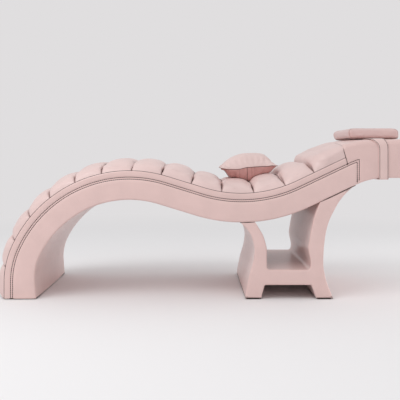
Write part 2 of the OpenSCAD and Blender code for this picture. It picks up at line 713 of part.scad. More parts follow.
// The cushion lies on groove 11, so its middle section rests on the crests either side
cushion_groove = 11;
cushion_span = 2;
cushion_at = off(bounds[cushion_groove], 0)[0] - cushion_offset_len;
crest_line = [for (i = [cushion_groove - cushion_span:cushion_groove + cushion_span - 1]) for (j = [0:channel_steps - 1])
    let (p = pad_point(i, j, 0)) [p[0], p[2]]];
belly_line = [for (a = cushion_line)
    turn_point([cushion_plan(a, 0)[0], -cushion_rim - (cushion_down - cushion_rim) * cushion_rise(a, 0, belly_power)],
        cushion_tilt)];
belly_end = belly_line[len(belly_line) - 1][0];
cushion_seam_h = gap + max(concat(
    [for (p = crest_line) if (abs(p[0] - cushion_at) < belly_end) p[1] - lookup(p[0] - cushion_at, belly_line)],
    [for (b = belly_line) lookup(cushion_at + b[0], crest_line) - b[1]]));
module loose_cushion() {
    n = len(cushion_line);
    rim = cushion_rim;
    top = [for (a = cushion_line) for (b = cushion_line) let (p = cushion_plan(a, b))
        [p[0], p[1], rim + (cushion_up - rim) * cushion_rise(a, b, cushion_power)]];
    bottom = [for (a = cushion_line) for (b = cushion_line) let (p = cushion_plan(a, b))
        [p[0], p[1], -rim - (cushion_down - rim) * cushion_rise(a, b, belly_power)]];
    m = n * n;
    upper = [for (j = [0:n - 2]) for (k = [0:n - 2]) for (f = [
        [j * n + k, j * n + k + 1, (j + 1) * n + k + 1],
        [j * n + k, (j + 1) * n + k + 1, (j + 1) * n + k]]) f];
    lower = [for (f = upper) [f[0] + m, f[2] + m, f[1] + m]];
    around = concat([for (k = [0:n - 2]) k], [for (j = [0:n - 2]) j * n + n - 1],
        [for (k = [n - 1:-1:1]) (n - 1) * n + k], [for (j = [n - 1:-1:1]) j * n]);
    c = len(around);
    walls = [for (i = [0:c - 1]) let (a = around[i], b = around[(i + 1) % c])
        for (f = [[b, a, a + m], [b, a + m, b + m]]) f];
    place_part() color(leather) translate([cushion_at, 0, cushion_seam_h]) rotate([0, -cushion_tilt, 0])
        polyhedron(concat(top, bottom), concat(upper, lower, walls));
}

for (i = [0:channel_count - 1]) channel_pad(i);
channel_backing();
deck_foam();
deck_panel();
rib_near();
rib_centre();
rib_far();
cross_battens();
batten_screws();
belly_panel();
foot_board();
head_end_board();
side_foam_near();
side_foam_far();
side_band_near();
side_band_far();
side_panel_near();
side_panel_far();
underside_cover();
head_pad();
head_end_foam();
head_cover();
base_frame_near();
base_frame_far();
base_panel_foot_side();
base_panel_head_side();
base_lining_panel();
base_floor_panel();
base_cleats();
base_foot_blocks();
base_bolts();
base_nuts();
base_side_cover_near();
base_side_cover_far();
base_wrap_foot_side();
base_wrap_head_side();
base_lining_cover();
base_floor_cover();
foot_glides();
base_glides();
head_pillow();
head_pillow_strap();
strap_patch();
loose_cushion();
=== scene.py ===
# Looks of the lash bed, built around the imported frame.
# Shapes are worked out in millimetres from the front of the foot leg, as in the part's source.
import json
import math

import bmesh
import bpy
import numpy as np
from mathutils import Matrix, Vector
from mathutils import noise
from mathutils.bvhtree import BVHTree

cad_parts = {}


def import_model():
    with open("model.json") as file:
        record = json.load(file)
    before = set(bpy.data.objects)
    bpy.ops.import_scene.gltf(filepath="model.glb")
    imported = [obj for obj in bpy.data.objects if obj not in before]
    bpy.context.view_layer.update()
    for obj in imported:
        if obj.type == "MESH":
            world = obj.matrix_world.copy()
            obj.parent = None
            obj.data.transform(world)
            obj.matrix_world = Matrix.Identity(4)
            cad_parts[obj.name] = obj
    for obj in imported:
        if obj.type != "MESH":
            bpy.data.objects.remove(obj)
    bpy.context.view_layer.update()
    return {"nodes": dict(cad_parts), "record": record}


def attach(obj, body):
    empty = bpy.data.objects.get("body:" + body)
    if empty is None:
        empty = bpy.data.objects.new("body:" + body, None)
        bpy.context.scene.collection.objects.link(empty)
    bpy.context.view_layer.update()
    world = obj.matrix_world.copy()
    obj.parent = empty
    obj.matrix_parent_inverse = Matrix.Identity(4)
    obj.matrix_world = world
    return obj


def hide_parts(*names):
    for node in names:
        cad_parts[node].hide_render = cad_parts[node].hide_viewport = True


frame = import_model()

# Lengths of the part
HALF_W = 325.0
BODY_T = 132.0
FLARE = 12.0
FLARE_RUN = 300.0
STITCH_DROP = 34.0
FLOOR_Z = 4.0
HEAD_LEN = 131.35
HEAD_RISE = 43.7
PAD_H = 64.5
PAD_SWELL = 14.0
NECK_H = 78.0
NECK_GROOVE_H = 58.0
HEAD_EDGE_R = 28.0
HEAD_END_R = 34.0
HEAD_TOE_R = 13.0
SHOULDER_RUN = 80.0
HEAD_SEAM_RUN = 61.0
CHANNEL_SHARES = [1.06, 0.92, 0.91, 0.91, 0.96, 0.92, 0.99, 0.99, 1.03, 1.03, 1.06, 1.06, 1.04, 1.11]
CHANNELS = len(CHANNEL_SHARES)
CROWN_POWER = 3.2
NECK_POWER = 7.0
CROWN_ROOT = 0.56
BULGE_POWER = 2.4
BULGE_ROOT = 0.6
GROOVE_SHARE = 0.58
SIDE_GROOVE_SHARE = 0.05
TOE_SHARE = 0.2
MID_X = 894.0
THREAD_SIDES = 6
SIDES = (("near", -1), ("far", 1))


# The seam line


def rad(a):
    return a * math.pi / 180.0


FOOT_RISE = 74.0
FOOT_R = 393.0
FOOT_TURN = 24.7
ARCH_R = 580.0
ARCH_TURN = 82.3
SLOPE_RUN = 175.0
DIP_R = 579.0
DIP_TURN = 42.4
HEAD_SLOPE_RUN = 239.0
HEAD_R = 432.0
HEAD_TURN = 90.0 - FOOT_TURN - ARCH_TURN + DIP_TURN
RUNS = [
    (FOOT_RISE, 0.0),
    (FOOT_R * rad(FOOT_TURN), -1.0 / FOOT_R),
    (ARCH_R * rad(ARCH_TURN), -1.0 / ARCH_R),
    (SLOPE_RUN, 0.0),
    (DIP_R * rad(DIP_TURN), 1.0 / DIP_R),
    (HEAD_SLOPE_RUN, 0.0),
    (HEAD_R * rad(HEAD_TURN), -1.0 / HEAD_R),
]


def travel(p, length, curve):
    x, z, a = p
    if curve == 0:
        return (x + length * math.cos(a), z + length * math.sin(a), a)
    b = a + length * curve
    return (x + (math.sin(b) - math.sin(a)) / curve, z - (math.cos(b) - math.cos(a)) / curve, b)


KNOTS = [(0.0, FLOOR_Z, math.pi / 2)]
KNOT_S = [0.0]
for length, curve in RUNS:
    KNOTS.append(travel(KNOTS[-1], length, curve))
    KNOT_S.append(KNOT_S[-1] + length)
LAST_GROOVE_S = KNOT_S[6]
LEVEL_S = KNOT_S[7]
LEVEL_X, LEVEL_Z = KNOTS[7][:2]
BODY_LEN = LEVEL_X + HEAD_LEN
HEAD_TOP = LEVEL_Z + HEAD_RISE
HEAD_SEAM_X = KNOTS[6][0] + HEAD_SEAM_RUN


def place(s):
    k = max([i for i in range(len(KNOT_S)) if KNOT_S[i] <= s] or [0])
    curve = RUNS[k][1] if k < len(RUNS) else 0.0
    return travel(KNOTS[k], s - KNOT_S[k], curve)


def off(s, d):
    x, z, a = place(s)
    return (x - d * math.sin(a), z + d * math.cos(a))


def thickness(s):
    return BODY_T + FLARE * max(0.0, 1.0 - s / FLARE_RUN) ** 2


# Halves a stretch again and again round the place where a test stops being true
def narrowed(test, low, high, rounds):
    for _ in range(rounds):
        mid = (low + high) / 2
        if test(mid):
            low = mid
        else:
            high = mid
    return low, high


# Where a line at a given depth, or the underside for no depth, reaches x
def s_at_x(x, depth):
    def before(s):
        return off(s, -thickness(s) if depth is None else depth)[0] < x

    low, high = narrowed(before, 0.0, LEVEL_S + HEAD_LEN, 50)
    return (low + high) / 2


def under_z(x):
    s = s_at_x(x, None)
    return off(s, -thickness(s))[1]


def stitch_z(x):
    return off(s_at_x(x, -STITCH_DROP), -STITCH_DROP)[1]


MEAN_CHANNEL = LAST_GROOVE_S / sum(CHANNEL_SHARES)
BOUNDS = [MEAN_CHANNEL * sum(CHANNEL_SHARES[:i]) for i in range(CHANNELS + 1)]


# Small helpers


def row(p):
    return ((p[0] - MID_X) / 1000.0, p[1] / 1000.0, p[2] / 1000.0)


def smooth_step(t):
    t = min(1.0, max(0.0, t))
    return t * t * (3.0 - 2.0 * t)


def bell(t):
    return math.exp(-t ** 2)


def quarter_turn(k, n):
    return 0.5 * math.pi * k / n


def quarter_turns(n, first=1):
    return [quarter_turn(k, n) for k in range(first, n + 1)]


# Shares from -1 to 1 that lie closer together towards both ends
def end_heavy(half, pull):
    return [pull * math.sin(quarter_turn(k, half)) + (1 - pull) * k / half for k in range(-half, half + 1)]


def heading(a, b):
    return Vector((b[0] - a[0], b[1] - a[1])).normalized()


def arc_points(cx, cz, r, a0, a1, n):
    turns = [rad(a0 + (a1 - a0) * i / n) for i in range(n + 1)]
    return [(cx + r * math.cos(a), cz + r * math.sin(a)) for a in turns]


def line_points(a, b, n):
    return [(a[0] + (b[0] - a[0]) * i / n, a[1] + (b[1] - a[1]) * i / n) for i in range(n + 1)]


# Moves a path along and up
def shifted(path, dz, dx=0.0):
    return [(x + dx, y, z + dz) for x, y, z in path]


# Faces between rows of points; wrap joins the ends of each row, closed joins the last row to the first
def grid_faces(rows, cols, start=0, flip=False, wrap=False, closed=False):
    faces = []
    for j in range(rows if closed else rows - 1):
        for k in range(cols if wrap else cols - 1):
            a = start + j * cols + k
            b = start + j * cols + (k + 1) % cols
            c = start + (j + 1) % rows * cols + (k + 1) % cols
            d = start + (j + 1) % rows * cols + k
            faces.append((a, d, c, b) if flip else (a, b, c, d))
    return faces


# Carries out one change on a mesh
def rework(mesh, change):
    work = bmesh.new()
    work.from_mesh(mesh)
    change(work)
    work.to_mesh(mesh)
    work.free()


def turn_out(work):
    bmesh.ops.recalc_face_normals(work, faces=work.faces)


# Joins points that lie closer than 0.02 mm
def join_up(work):
    bmesh.ops.remove_doubles(work, verts=work.verts, dist=0.00002)
    turn_out(work)


def add_object(name, mesh):
    obj = bpy.data.objects.new(name, mesh)
    bpy.context.scene.collection.objects.link(obj)
    return obj


# A piece of the scene; change is a last change to its mesh before it is shaded smooth
def piece(name, points, faces, material, body="bed", slot="leather", change=None):
    mesh = bpy.data.meshes.new(name)
    mesh.from_pydata([row(p) for p in points], [], faces)
    mesh.update()
    if change is not None:
        rework(mesh, change)
    mesh.polygons.foreach_set("use_smooth", [True] * len(mesh.polygons))
    mesh.materials.append(material)
    obj = add_object(name, mesh)
    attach(obj, body)
    return obj


# A round thread or cord along a path, with caps at open ends
def add_tube(points, faces, path, radius, sides, closed=False):
    n = len(path)
    start = len(points)
    normal = None
    for i in range(n):
        before = path[(i - 1) % n] if closed else path[max(i - 1, 0)]
        after = path[(i + 1) % n] if closed else path[min(i + 1, n - 1)]
        along = (Vector(after) - Vector(before)).normalized()
        if normal is None:
            up = Vector((0, 1, 0)) if abs(along.y) < 0.9 else Vector((0, 0, 1))
            normal = along.cross(up).normalized()
        normal = (normal - along * normal.dot(along)).normalized()
        side = along.cross(normal)
        for k in range(sides):
            a = 2 * math.pi * k / sides
            points.append(tuple(Vector(path[i]) + radius * (math.cos(a) * normal + math.sin(a) * side)))
    faces.extend(grid_faces(n, sides, start, wrap=True, closed=closed))
    if not closed:
        end = start + (n - 1) * sides
        faces.append(tuple(start + k for k in reversed(range(sides))))
        faces.append(tuple(end + k for k in range(sides)))


# One piece of several tubes, each a path, a radius, a count of sides and, if it is closed, True
def tube_piece(name, runs, material, body="bed", slot="leather"):
    points, faces = [], []
    for run in runs:
        add_tube(points, faces, *run)
    piece(name, points, faces, material, body, slot)


# Evenly spaced points along a polyline
def resample(path, step):
    pts = [Vector(p) for p in path]
    lengths = [0.0]
    for a, b in zip(pts, pts[1:]):
        lengths.append(lengths[-1] + (b - a).length)
    count = max(2, int(round(lengths[-1] / step)) + 1)
    out = []
    k = 0
    for i in range(count):
        t = lengths[-1] * i / (count - 1)
        while k < len(pts) - 2 and lengths[k + 1] < t:
            k += 1
        run = lengths[k + 1] - lengths[k]
        f = (t - lengths[k]) / run if run > 0 else 0.0
        out.append(pts[k].lerp(pts[k + 1], f))
    return out


# Separate stitches, each a short thread that dips into the leather at its ends
def stitch_runs(path, inward):
    fine = resample(path, 1.0)
    runs = []
    for i in range(0, len(fine) - STITCH_LENGTH, STITCH_LENGTH + STITCH_SPACE):
        part = fine[i:i + STITCH_LENGTH + 1:2]
        dipped = []
        for k, p in enumerate(part):
            t = 2.0 * k / (len(part) - 1) - 1.0
            dipped.append(p + Vector(inward) * (STITCH_R * STITCH_DIP * t ** 4))
        runs.append((dipped, STITCH_R, STITCH_SIDES))
    return runs


# Materials


def linear(rgb):
    parts = [(c / 255.0 / 12.92) if c <= 10 else ((c / 255.0 + 0.055) / 1.055) ** 2.4 for c in rgb]
    return (*parts, 1)


def scaled(colour, f):
    return (*(min(1.0, c * f) for c in colour[:3]), 1)


# Fills a node's inputs: an output is linked, a number or colour is set on the input itself
def feed(tree, node, inputs):
    for key, value in inputs.items():
        if isinstance(value, bpy.types.NodeSocket):
            tree.links.new(value, node.inputs[key])
        else:
            node.inputs[key].default_value = value


def add_node(tree, kind, inputs, **settings):
    node = tree.nodes.new("ShaderNode" + kind)
    for key, value in settings.items():
        setattr(node, key, value)
    feed(tree, node, inputs)
    return node


def node_material(name):
    material = bpy.data.materials.new(name)
    material.use_nodes = True
    tree = material.node_tree
    tree.nodes.clear()
    shader = add_node(tree, "BsdfPrincipled", {})
    add_node(tree, "OutputMaterial", {0: shader.outputs[0]})
    return material, tree, shader, add_node(tree, "TexCoord", {}).outputs["Object"]


def mixed(tree, factor, a, b):
    return add_node(tree, "Mix", {0: factor, 6: a, 7: b}, data_type="RGBA").outputs[2]


def speckle(tree, coords, scale, detail, roughness=0.5):
    inputs = {"Vector": coords, "Scale": scale, "Detail": detail, "Roughness": roughness}
    return add_node(tree, "TexNoise", inputs).outputs[0]


# Stretches the middle of a noise over a range
def ramp(tree, value, to_low, to_high):
    return add_node(tree, "MapRange", {0: value, 1: 0.3, 2: 0.7, 3: to_low, 4: to_high}).outputs[0]


def bump(tree, height, strength, distance):
    return add_node(tree, "Bump", {"Strength": strength, "Distance": distance, "Height": height}).outputs[0]


CLOUD_SPREAD = 0.04
# Colour of the painted shade in the grooves between the pads
GROOVE_SHADE_COLOUR = (112, 74, 72)


# Soft artificial leather: cloudy colour, fine pebble grain and faint creases
def leather_material(name, rgb, rough=0.42, depth=1.0, coat=0.35, painted_groove_shade=False):
    material, tree, shader, coords = node_material(name)
    base = linear(rgb)
    cloud = ramp(tree, speckle(tree, coords, 9.0, 4.0, 0.55), 0.0, 1.0)
    colour = mixed(tree, cloud, scaled(base, 1.0 - CLOUD_SPREAD), scaled(base, 1.0 + CLOUD_SPREAD))
    # When the groove shade is on, a point attribute darkens the colour towards the groove shade colour:
    # painted shade in the grooves between the pads
    if painted_groove_shade:
        groove_shade = add_node(tree, "Attribute", {}, attribute_name="groove_shade")
        colour = mixed(tree, groove_shade.outputs["Fac"], colour, linear(GROOVE_SHADE_COLOUR))
    pebbles = {"Vector": coords, "Scale": 620.0, "Smoothness": 0.6}
    grain = add_node(tree, "TexVoronoi", pebbles, feature="SMOOTH_F1").outputs[0]
    creases = speckle(tree, coords, 34.0, 6.0, 0.6)
    relief = add_node(tree, "Math", {0: creases, 1: 1.6, 2: grain}, operation="MULTIPLY_ADD").outputs[0]
    feed(tree, shader, {
        "Base Color": colour,
        "Roughness": ramp(tree, speckle(tree, coords, 60.0, 3.0), rough - 0.05, rough + 0.07),
        "Normal": bump(tree, relief, 0.22 * depth, 0.0006),
        "Specular IOR Level": 0.5,
        "Coat Weight": coat,
        "Coat Roughness": 0.2,
        "Sheen Weight": 0.06,
        "Sheen Roughness": 0.5,
    })
    return material


def thread_material(name, rgb):
    material, tree, shader, coords = node_material(name)
    twist = speckle(tree, coords, 900.0, 2.0)
    base = linear(rgb)
    feed(tree, shader, {
        "Base Color": mixed(tree, twist, scaled(base, 0.8), scaled(base, 1.2)),
        "Roughness": 0.7,
        "Normal": bump(tree, twist, 0.3, 0.0003),
    })
    return material


PAD_LEATHER = leather_material("pad_leather", (221, 194, 190), rough=0.5, coat=0.1, painted_groove_shade=True)
SIDE_LEATHER = leather_material("side_leather", (224, 193, 188))
HEAD_LEATHER = leather_material("head_leather", (222, 190, 185))
STRAP_LEATHER = leather_material("strap_leather", (226, 196, 191), rough=0.45)
BASE_LEATHER = leather_material("base_leather", (224, 193, 188), rough=0.40)
CUSHION_LEATHER = leather_material("cushion_leather", (219, 193, 189), rough=0.55, depth=0.8, coat=0.08)
# The cushion underside's darker, redder rose is painted shade beneath the cushion
CUSHION_UNDER_SHADE = leather_material("cushion_under_shade_leather", (204, 153, 148), rough=0.55, depth=0.8, coat=0.08)
# The pillow's leather is a little darker than the block's: painted shade for the pillow's face
PILLOW_LEATHER = leather_material("pillow_leather", (213, 180, 176), rough=0.45)
SOFT_THREAD = thread_material("soft_thread", (150, 110, 106))
THREAD = thread_material("seam_thread", (54, 30, 29))


# Channels, with how much plumper each is than its plain height

PLUMP = [4, 10, 12, 10, 8, 6, 2, 2, 7, 5, 0, 7, 9, 0]
PAD_STEPS = 18
PAD_U = [0.5 - 0.5 * math.cos(math.pi * k / PAD_STEPS) for k in range(PAD_STEPS + 1)]
PAD_HALF_ROWS = 38
PAD_Q = end_heavy(PAD_HALF_ROWS, 0.45)
# Height of the last pad along its length, as a share of its full height
NECK_U = [0, 0.01, 0.03, 0.07, 0.13, 0.22, 0.35, 0.6, 0.8, 1.0]
NECK_PROFILE = [0.5, 0.62, 0.76, 0.9, 1.0, 1.06, 1.07, 1.0, 0.95, 0.91]
NECK_EDGE_R = 62.0
LEAD_EDGE_R = 37.0
NECK_CORNER_DROP = 20.0
# Width of a gather's folds, shift from seam to seam, length of the folds and share
GATHER_WAVES = ((26.0, 7.3, 60.0, 1.0), (11.0, 3.1, 40.0, 0.5))
GATHER_SEED = 1.7
GATHER_DEPTH = 1.5
# Depth of the broad waves of a pad, and how far its sides swell out
WAVE_DEPTH = 1.4
SIDE_SWELL = 3.0
# Painted shade in the grooves, for the earlier pads and for the later ones, which get less: reach, least
# share, what is added at the sides and where the sides start
GROOVE_SHADES = ((3.2, 0.3, 0.6, 0.3), (2.8, 0.22, 0.33, 0.5))
FAINTER_SHADE_FROM = 9
CHANNEL_THREAD_R = 1.2
CHANNEL_THREAD_LIFT = 0.4
# The back edge of the last pad: how far behind its groove, how high and how far in it lies
NECK_BACK = 2.0
NECK_BACK_D = 4.0
NECK_BACK_IN = 6.0
# The last groove leans upright: a straight line from the lower seam to the top of the block
LEAD_FOOT = off(LAST_GROOVE_S, -STITCH_DROP)
LEAD_TOP = (1519.0, 709.0)


def channel_height(i):
    if i == CHANNELS - 1:
        return NECK_H
    return PAD_H + PAD_SWELL * (place(BOUNDS[i + 1])[2] - place(BOUNDS[i])[2]) + PLUMP[i]


def lead_x(z):
    f = (z - LEAD_FOOT[1]) / (LEAD_TOP[1] - LEAD_FOOT[1])
    return LEAD_FOOT[0] + f * (LEAD_TOP[0] - LEAD_FOOT[0])


# How far past the last groove a point at depth d still lies in front of that line
def lead_reach(d):
    def before(s):
        x, z = off(s, d)
        return x < lead_x(z)

    return narrowed(before, LAST_GROOVE_S - 20.0, LAST_GROOVE_S + 60.0, 40)[0] - LAST_GROOVE_S


# Height of a pad at a share u of its length and a share q of its half width
def pad_height(i, u, q):
    q = min(1.0, abs(q))
    last = i == CHANNELS - 1
    power = CROWN_POWER + (NECK_POWER - CROWN_POWER) * u if last else CROWN_POWER
    crown = max(0.0, 1.0 - q ** power) ** CROWN_ROOT
    outer = smooth_step((q - 0.4) / 0.45)
    groove = GROOVE_SHARE + (SIDE_GROOVE_SHARE - GROOVE_SHARE) * outer
    if last:
        full = float(np.interp(u, NECK_U, NECK_PROFILE))
        rise = (full - NECK_PROFILE[0]) * (1.0 - groove) / (1.0 - NECK_PROFILE[0])
        return channel_height(i) * crown * (groove + rise)
    toe = TOE_SHARE if i == 0 else groove
    low = toe + (groove - toe) * u
    bulge = max(0.0, 1.0 - abs(2 * u - 1) ** (BULGE_POWER + 0.8 * outer)) ** (BULGE_ROOT - 0.12 * outer)
    return channel_height(i) * crown * (low + (1.0 - low) * bulge)


# Distance to the nearer groove
def groove_distance(i, u):
    return min(u, 1.0 - u) * (CHANNEL_SHARES[i] * MEAN_CHANNEL)


# Gathers run away from the seams and fade out towards the crest
def gather(i, u, y):
    near = groove_distance(i, u)
    which = i if u < 0.5 else i + 1
    wave = 0.0
    for width, shift, length, share in GATHER_WAVES:
        wave += share * noise.noise(Vector((y / width, which * shift + GATHER_SEED, near / length)))
    return GATHER_DEPTH * wave * bell((near - 9.0) / 17.0)


def neck_drop(y):
    return NECK_CORNER_DROP * (abs(y) / HALF_W) ** 2.5


# The cross-section of the head block, walked from the lower corner to the middle
def block_section(f, height, r):
    wall = height - r
    arc = 0.5 * math.pi * r
    flat = HALF_W - r
    run = (wall + arc + flat) * (0.35 * f + 0.65 * f * f)
    if run < wall:
        return (HALF_W, run)
    if run < wall + arc:
        a = (run - wall) / r
        y = HALF_W - r + r * math.cos(a)
        return (y, wall + r * math.sin(a) - neck_drop(y) * math.sin(a))
    y = flat - (run - wall - arc)
    return (y, height - neck_drop(y))


def channel_point(i, k, c):
    u = PAD_U[k]
    q = PAD_Q[c]
    s = BOUNDS[i] + (BOUNDS[i + 1] - BOUNDS[i]) * u
    y = q * HALF_W
    d = pad_height(i, u, q)
    loose = 1.0
    if i == CHANNELS - 1:
        w = smooth_step((u - 0.03) / 0.45)
        f = 1.0 - abs(c - PAD_HALF_ROWS) / PAD_HALF_ROWS
        block_r = NECK_EDGE_R - (NECK_EDGE_R - LEAD_EDGE_R) * u
        by, bd = block_section(f, pad_height(i, u, 0.0), block_r)
        y = (1 - w) * y + w * math.copysign(by, q)
        d = (1 - w) * d + w * bd
        s += lead_reach(d) * smooth_step((u - 0.3) / 0.7)
        loose = 1.0 - smooth_step((u - 0.6) / 0.3)
    broad = noise.noise(Vector((s / 170.0, y / 210.0, 2.5)))
    d += loose * min(1.0, d / PAD_H) * (WAVE_DEPTH * broad + gather(i, u, y))
    bulge = max(0.0, 1.0 - abs(2 * u - 1) ** 3)
    side = SIDE_SWELL * bulge * math.sin(math.pi * min(1.0, d / 60.0)) if abs(q) > 0.6 else 0.0
    side *= smooth_step((abs(q) - 0.6) / 0.35) * loose
    x, z = off(s, d)
    return (x, y + math.copysign(side, q), z)


CLOTH = {
    "quality": 7,
    "mass": 0.3,
    "bending_stiffness": 0.3,
    "tension_damping": 25,
    "compression_damping": 25,
    "air_damping": 4,
    "use_pressure": True,
    "vertex_group_mass": "pin",
}
CLOTH_FRAMES = 20


# Blows a leather skin up a little with pinned seams, by a short cloth run
def swell(points, faces, pinned, pressure, growth, cap, stiff=20.0):
    mesh = bpy.data.meshes.new("skin_run")
    mesh.from_pydata([row(p) for p in points], [], faces)
    mesh.update()
    obj = add_object("skin_run", mesh)
    group = obj.vertex_groups.new(name="pin")
    group.add(list(pinned), 1.0, "REPLACE")
    modifier = obj.modifiers.new("cloth", "CLOTH")
    cloth = modifier.settings
    for key, value in CLOTH.items():
        setattr(cloth, key, value)
    cloth.tension_stiffness = stiff
    cloth.compression_stiffness = stiff
    cloth.shear_stiffness = stiff * 0.5
    cloth.uniform_pressure_force = pressure
    cloth.shrink_min = -growth
    cloth.effector_weights.gravity = 0.0
    modifier.collision_settings.use_collision = False
    scene = bpy.context.scene
    for frame_number in range(1, CLOTH_FRAMES + 1):
        scene.frame_set(frame_number)
    result = obj.evaluated_get(bpy.context.evaluated_depsgraph_get())
    moved = []
    for old, vert in zip(points, result.data.vertices):
        new = Vector((vert.co.x * 1000.0 + MID_X, vert.co.y * 1000.0, vert.co.z * 1000.0))
        step = new - Vector(old)
        if step.length > cap:
            step = step * (cap / step.length)
        moved.append(tuple(Vector(old) + step))
    scene.frame_set(1)
    bpy.data.objects.remove(obj)
    bpy.data.meshes.remove(mesh)
    return moved


# How strongly painted shade darkens the leather near a groove, from 0 to 1
def groove_shade_share(i, k, c):
    u = PAD_U[k]
    if (i == 0 and u < 0.5) or (i == CHANNELS - 1 and u > 0.5):
        return 0.0
    reach, least, more, start = GROOVE_SHADES[i >= FAINTER_SHADE_FROM]
    share = least + more * smooth_step((abs(PAD_Q[c]) - start) / 0.3)
    return bell(groove_distance(i, u) / reach) * share


def build_channels():
    n = len(PAD_Q)
    rows = [(i, k) for i in range(CHANNELS) for k in range(PAD_STEPS + 1) if i == 0 or k > 0]
    points = [channel_point(i, k, c) for i, k in rows for c in range(n)]
    quilt_faces = grid_faces(len(rows), n)
    grooves = [r for r, (i, k) in enumerate(rows) if k in (0, PAD_STEPS)]
    pinned = set(r * n + c for r in grooves for c in range(n))
    pinned |= set(r * n + c for r in range(len(rows)) for c in (0, n - 1))
    pinned |= set(r * n + c for r in range(len(rows) - PAD_STEPS // 2, len(rows)) for c in range(n))
    points = swell(points, quilt_faces, pinned, pressure=4.0, growth=0.004, cap=7.0)
    points = [(x, y, max(z, 1.0)) for x, y, z in points]
    for i in range(CHANNELS):
        first = i * PAD_STEPS * n
        part = points[first:first + (PAD_STEPS + 1) * n]
        faces = grid_faces(PAD_STEPS + 1, n)
        start = len(part)
        if i == 0:
            x, z = off(0.0, 0.0)
            part = part + [(x, q * HALF_W, z) for q in PAD_Q]
            faces += [(start + k, start + k + 1, k + 1, k) for k in range(n - 1)]
        if i == CHANNELS - 1:
            last = PAD_STEPS * n
            x, z = off(LAST_GROOVE_S + NECK_BACK, NECK_BACK_D)
            part = part + [(x, q * (HALF_W - NECK_BACK_IN), z) for q in PAD_Q]
            faces += [(last + k, last + k + 1, start + k + 1, start + k) for k in range(n - 1)]
        name = "channel_cover_%02d" % (i + 1)
        obj = piece(name, part, faces, PAD_LEATHER, slot="quilted_leather")
        # The painted shade in the grooves is kept as a point attribute of each pad
        groove_shade = obj.data.attributes.new("groove_shade", "FLOAT", "POINT")
        values = [groove_shade_share(i, k, c) for k in range(PAD_STEPS + 1) for c in range(n)]
        groove_shade.data.foreach_set("value", values + [0.0] * (len(part) - len(values)))
        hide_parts("channel_pad_%02d" % (i + 1))
    # A sewn seam lies in every groove
    seams = []
    lift = CHANNEL_THREAD_LIFT
    for r in grooves[1:-1]:
        a = place(BOUNDS[rows[r][0] + 1])[2]
        line = shifted(points[r * n:(r + 1) * n], lift * math.cos(a), -lift * math.sin(a))
        seams.append((line, CHANNEL_THREAD_R, THREAD_SIDES))
    tube_piece("channel_seams", seams, THREAD)
    return points, quilt_faces


# Side skins

# How the leather is drawn in with distance from the double stitched seam
SEAM_E = [0, 1.5, 3, 4.5, 6, 7.5, 11, 16]
SEAM_DIP = [-2.6, -2.0, -2.4, -3.4, -2.4, -1.6, -0.6, 0.0]
END_STEPS = SEAM_E + [24, 34]
BAND_D = [0, -1.2, -3, -6, -10, -14, -18, -22] + [e - STITCH_DROP for e in reversed(SEAM_E[:6])]
PANEL_D = [-STITCH_DROP - e for e in SEAM_E] + [-58, -68, -80, -92, -104, -114, -120]
SIDE_PROUD = 2.4
EDGE_R = 8.0
EDGE_STEPS = 6
FLAT_W = HALF_W - EDGE_R
PANEL_LEAN_RUN = 180.0
UNDER_SAG = 1.2
# Depth of the draw at the top seam, and at the upright seam of the head block
TOP_DRAW = 2.9
LEAD_DRAW = 2.0
# Rows of the panel below this depth follow the body's thickness
PANEL_PLAIN = 45
PANEL_FALL = 1.4
S_PANEL = s_at_x(HEAD_SEAM_X, -STITCH_DROP)
UNDER_END = s_at_x(HEAD_SEAM_X, None)


def seam_distance(x, d):
    above = d + STITCH_DROP
    beyond = x - HEAD_SEAM_X
    if above <= 0 and beyond <= 0:
        return min(-above, -beyond)
    if above > 0 and beyond > 0:
        return math.hypot(above, beyond)
    return above if above > 0 else beyond


def seam_dip(e):
    return float(np.interp(e, SEAM_E, SEAM_DIP))


def side_out(x, d):
    return SIDE_PROUD + seam_dip(seam_distance(x, d))


def stations(s_end, step):
    run = s_end - END_STEPS[-1]
    return list(np.linspace(0.0, run, int(run / step) + 1)) + [s_end - e for e in reversed(END_STEPS[:-1])]


# Columns lean towards the upright seam, so that the last one is upright
def leaned(s, end):
    return s + smooth_step((s - (S_PANEL - PANEL_LEAN_RUN)) / PANEL_LEAN_RUN) * (end - S_PANEL)


def side_band(side):
    cols = np.linspace(0.0, LAST_GROOVE_S, 300)
    reach = {d: lead_reach(d) for d in BAND_D}
    points = []
    for s in cols:
        lean = smooth_step((s - LAST_GROOVE_S + 60.0) / 60.0)
        for d in BAND_D:
            x, z = off(s + lean * reach[d], d)
            out = side_out(x, d) - TOP_DRAW * bell(d / 3.2)
            out -= LEAD_DRAW * bell((LAST_GROOVE_S - s) / 3.5)
            points.append((x, side * (HALF_W + out), z))
    return points, grid_faces(len(cols), len(BAND_D), flip=side > 0)


def side_panel(side):
    cols = stations(S_PANEL, 7.0)
    ends = {d: s_at_x(HEAD_SEAM_X, d) for d in PANEL_D}
    points = []
    for s in cols:
        for d in PANEL_D:
            t = leaned(s, ends[d])
            depth = d
            if d < -PANEL_PLAIN:
                room = thickness(t) - EDGE_R - PANEL_PLAIN
                depth = -PANEL_PLAIN + (d + PANEL_PLAIN) * room / (-PANEL_D[-1] - PANEL_PLAIN)
            x, z = off(t, depth)
            fall = PANEL_FALL * smooth_step((-d - 90.0) / 30.0)
            points.append((x, side * (HALF_W + side_out(x, depth) - fall), z))
        t = leaned(s, UNDER_END)
        for a in quarter_turns(EDGE_STEPS):
            x, z = off(t, -thickness(t) + EDGE_R - EDGE_R * math.sin(a))
            out = (1.0 + seam_dip(max(0.0, HEAD_SEAM_X - x))) * math.cos(a)
            points.append((x, side * (FLAT_W + EDGE_R * math.cos(a) + out), z))
    return points, grid_faces(len(cols), len(PANEL_D) + EDGE_STEPS, flip=side > 0)


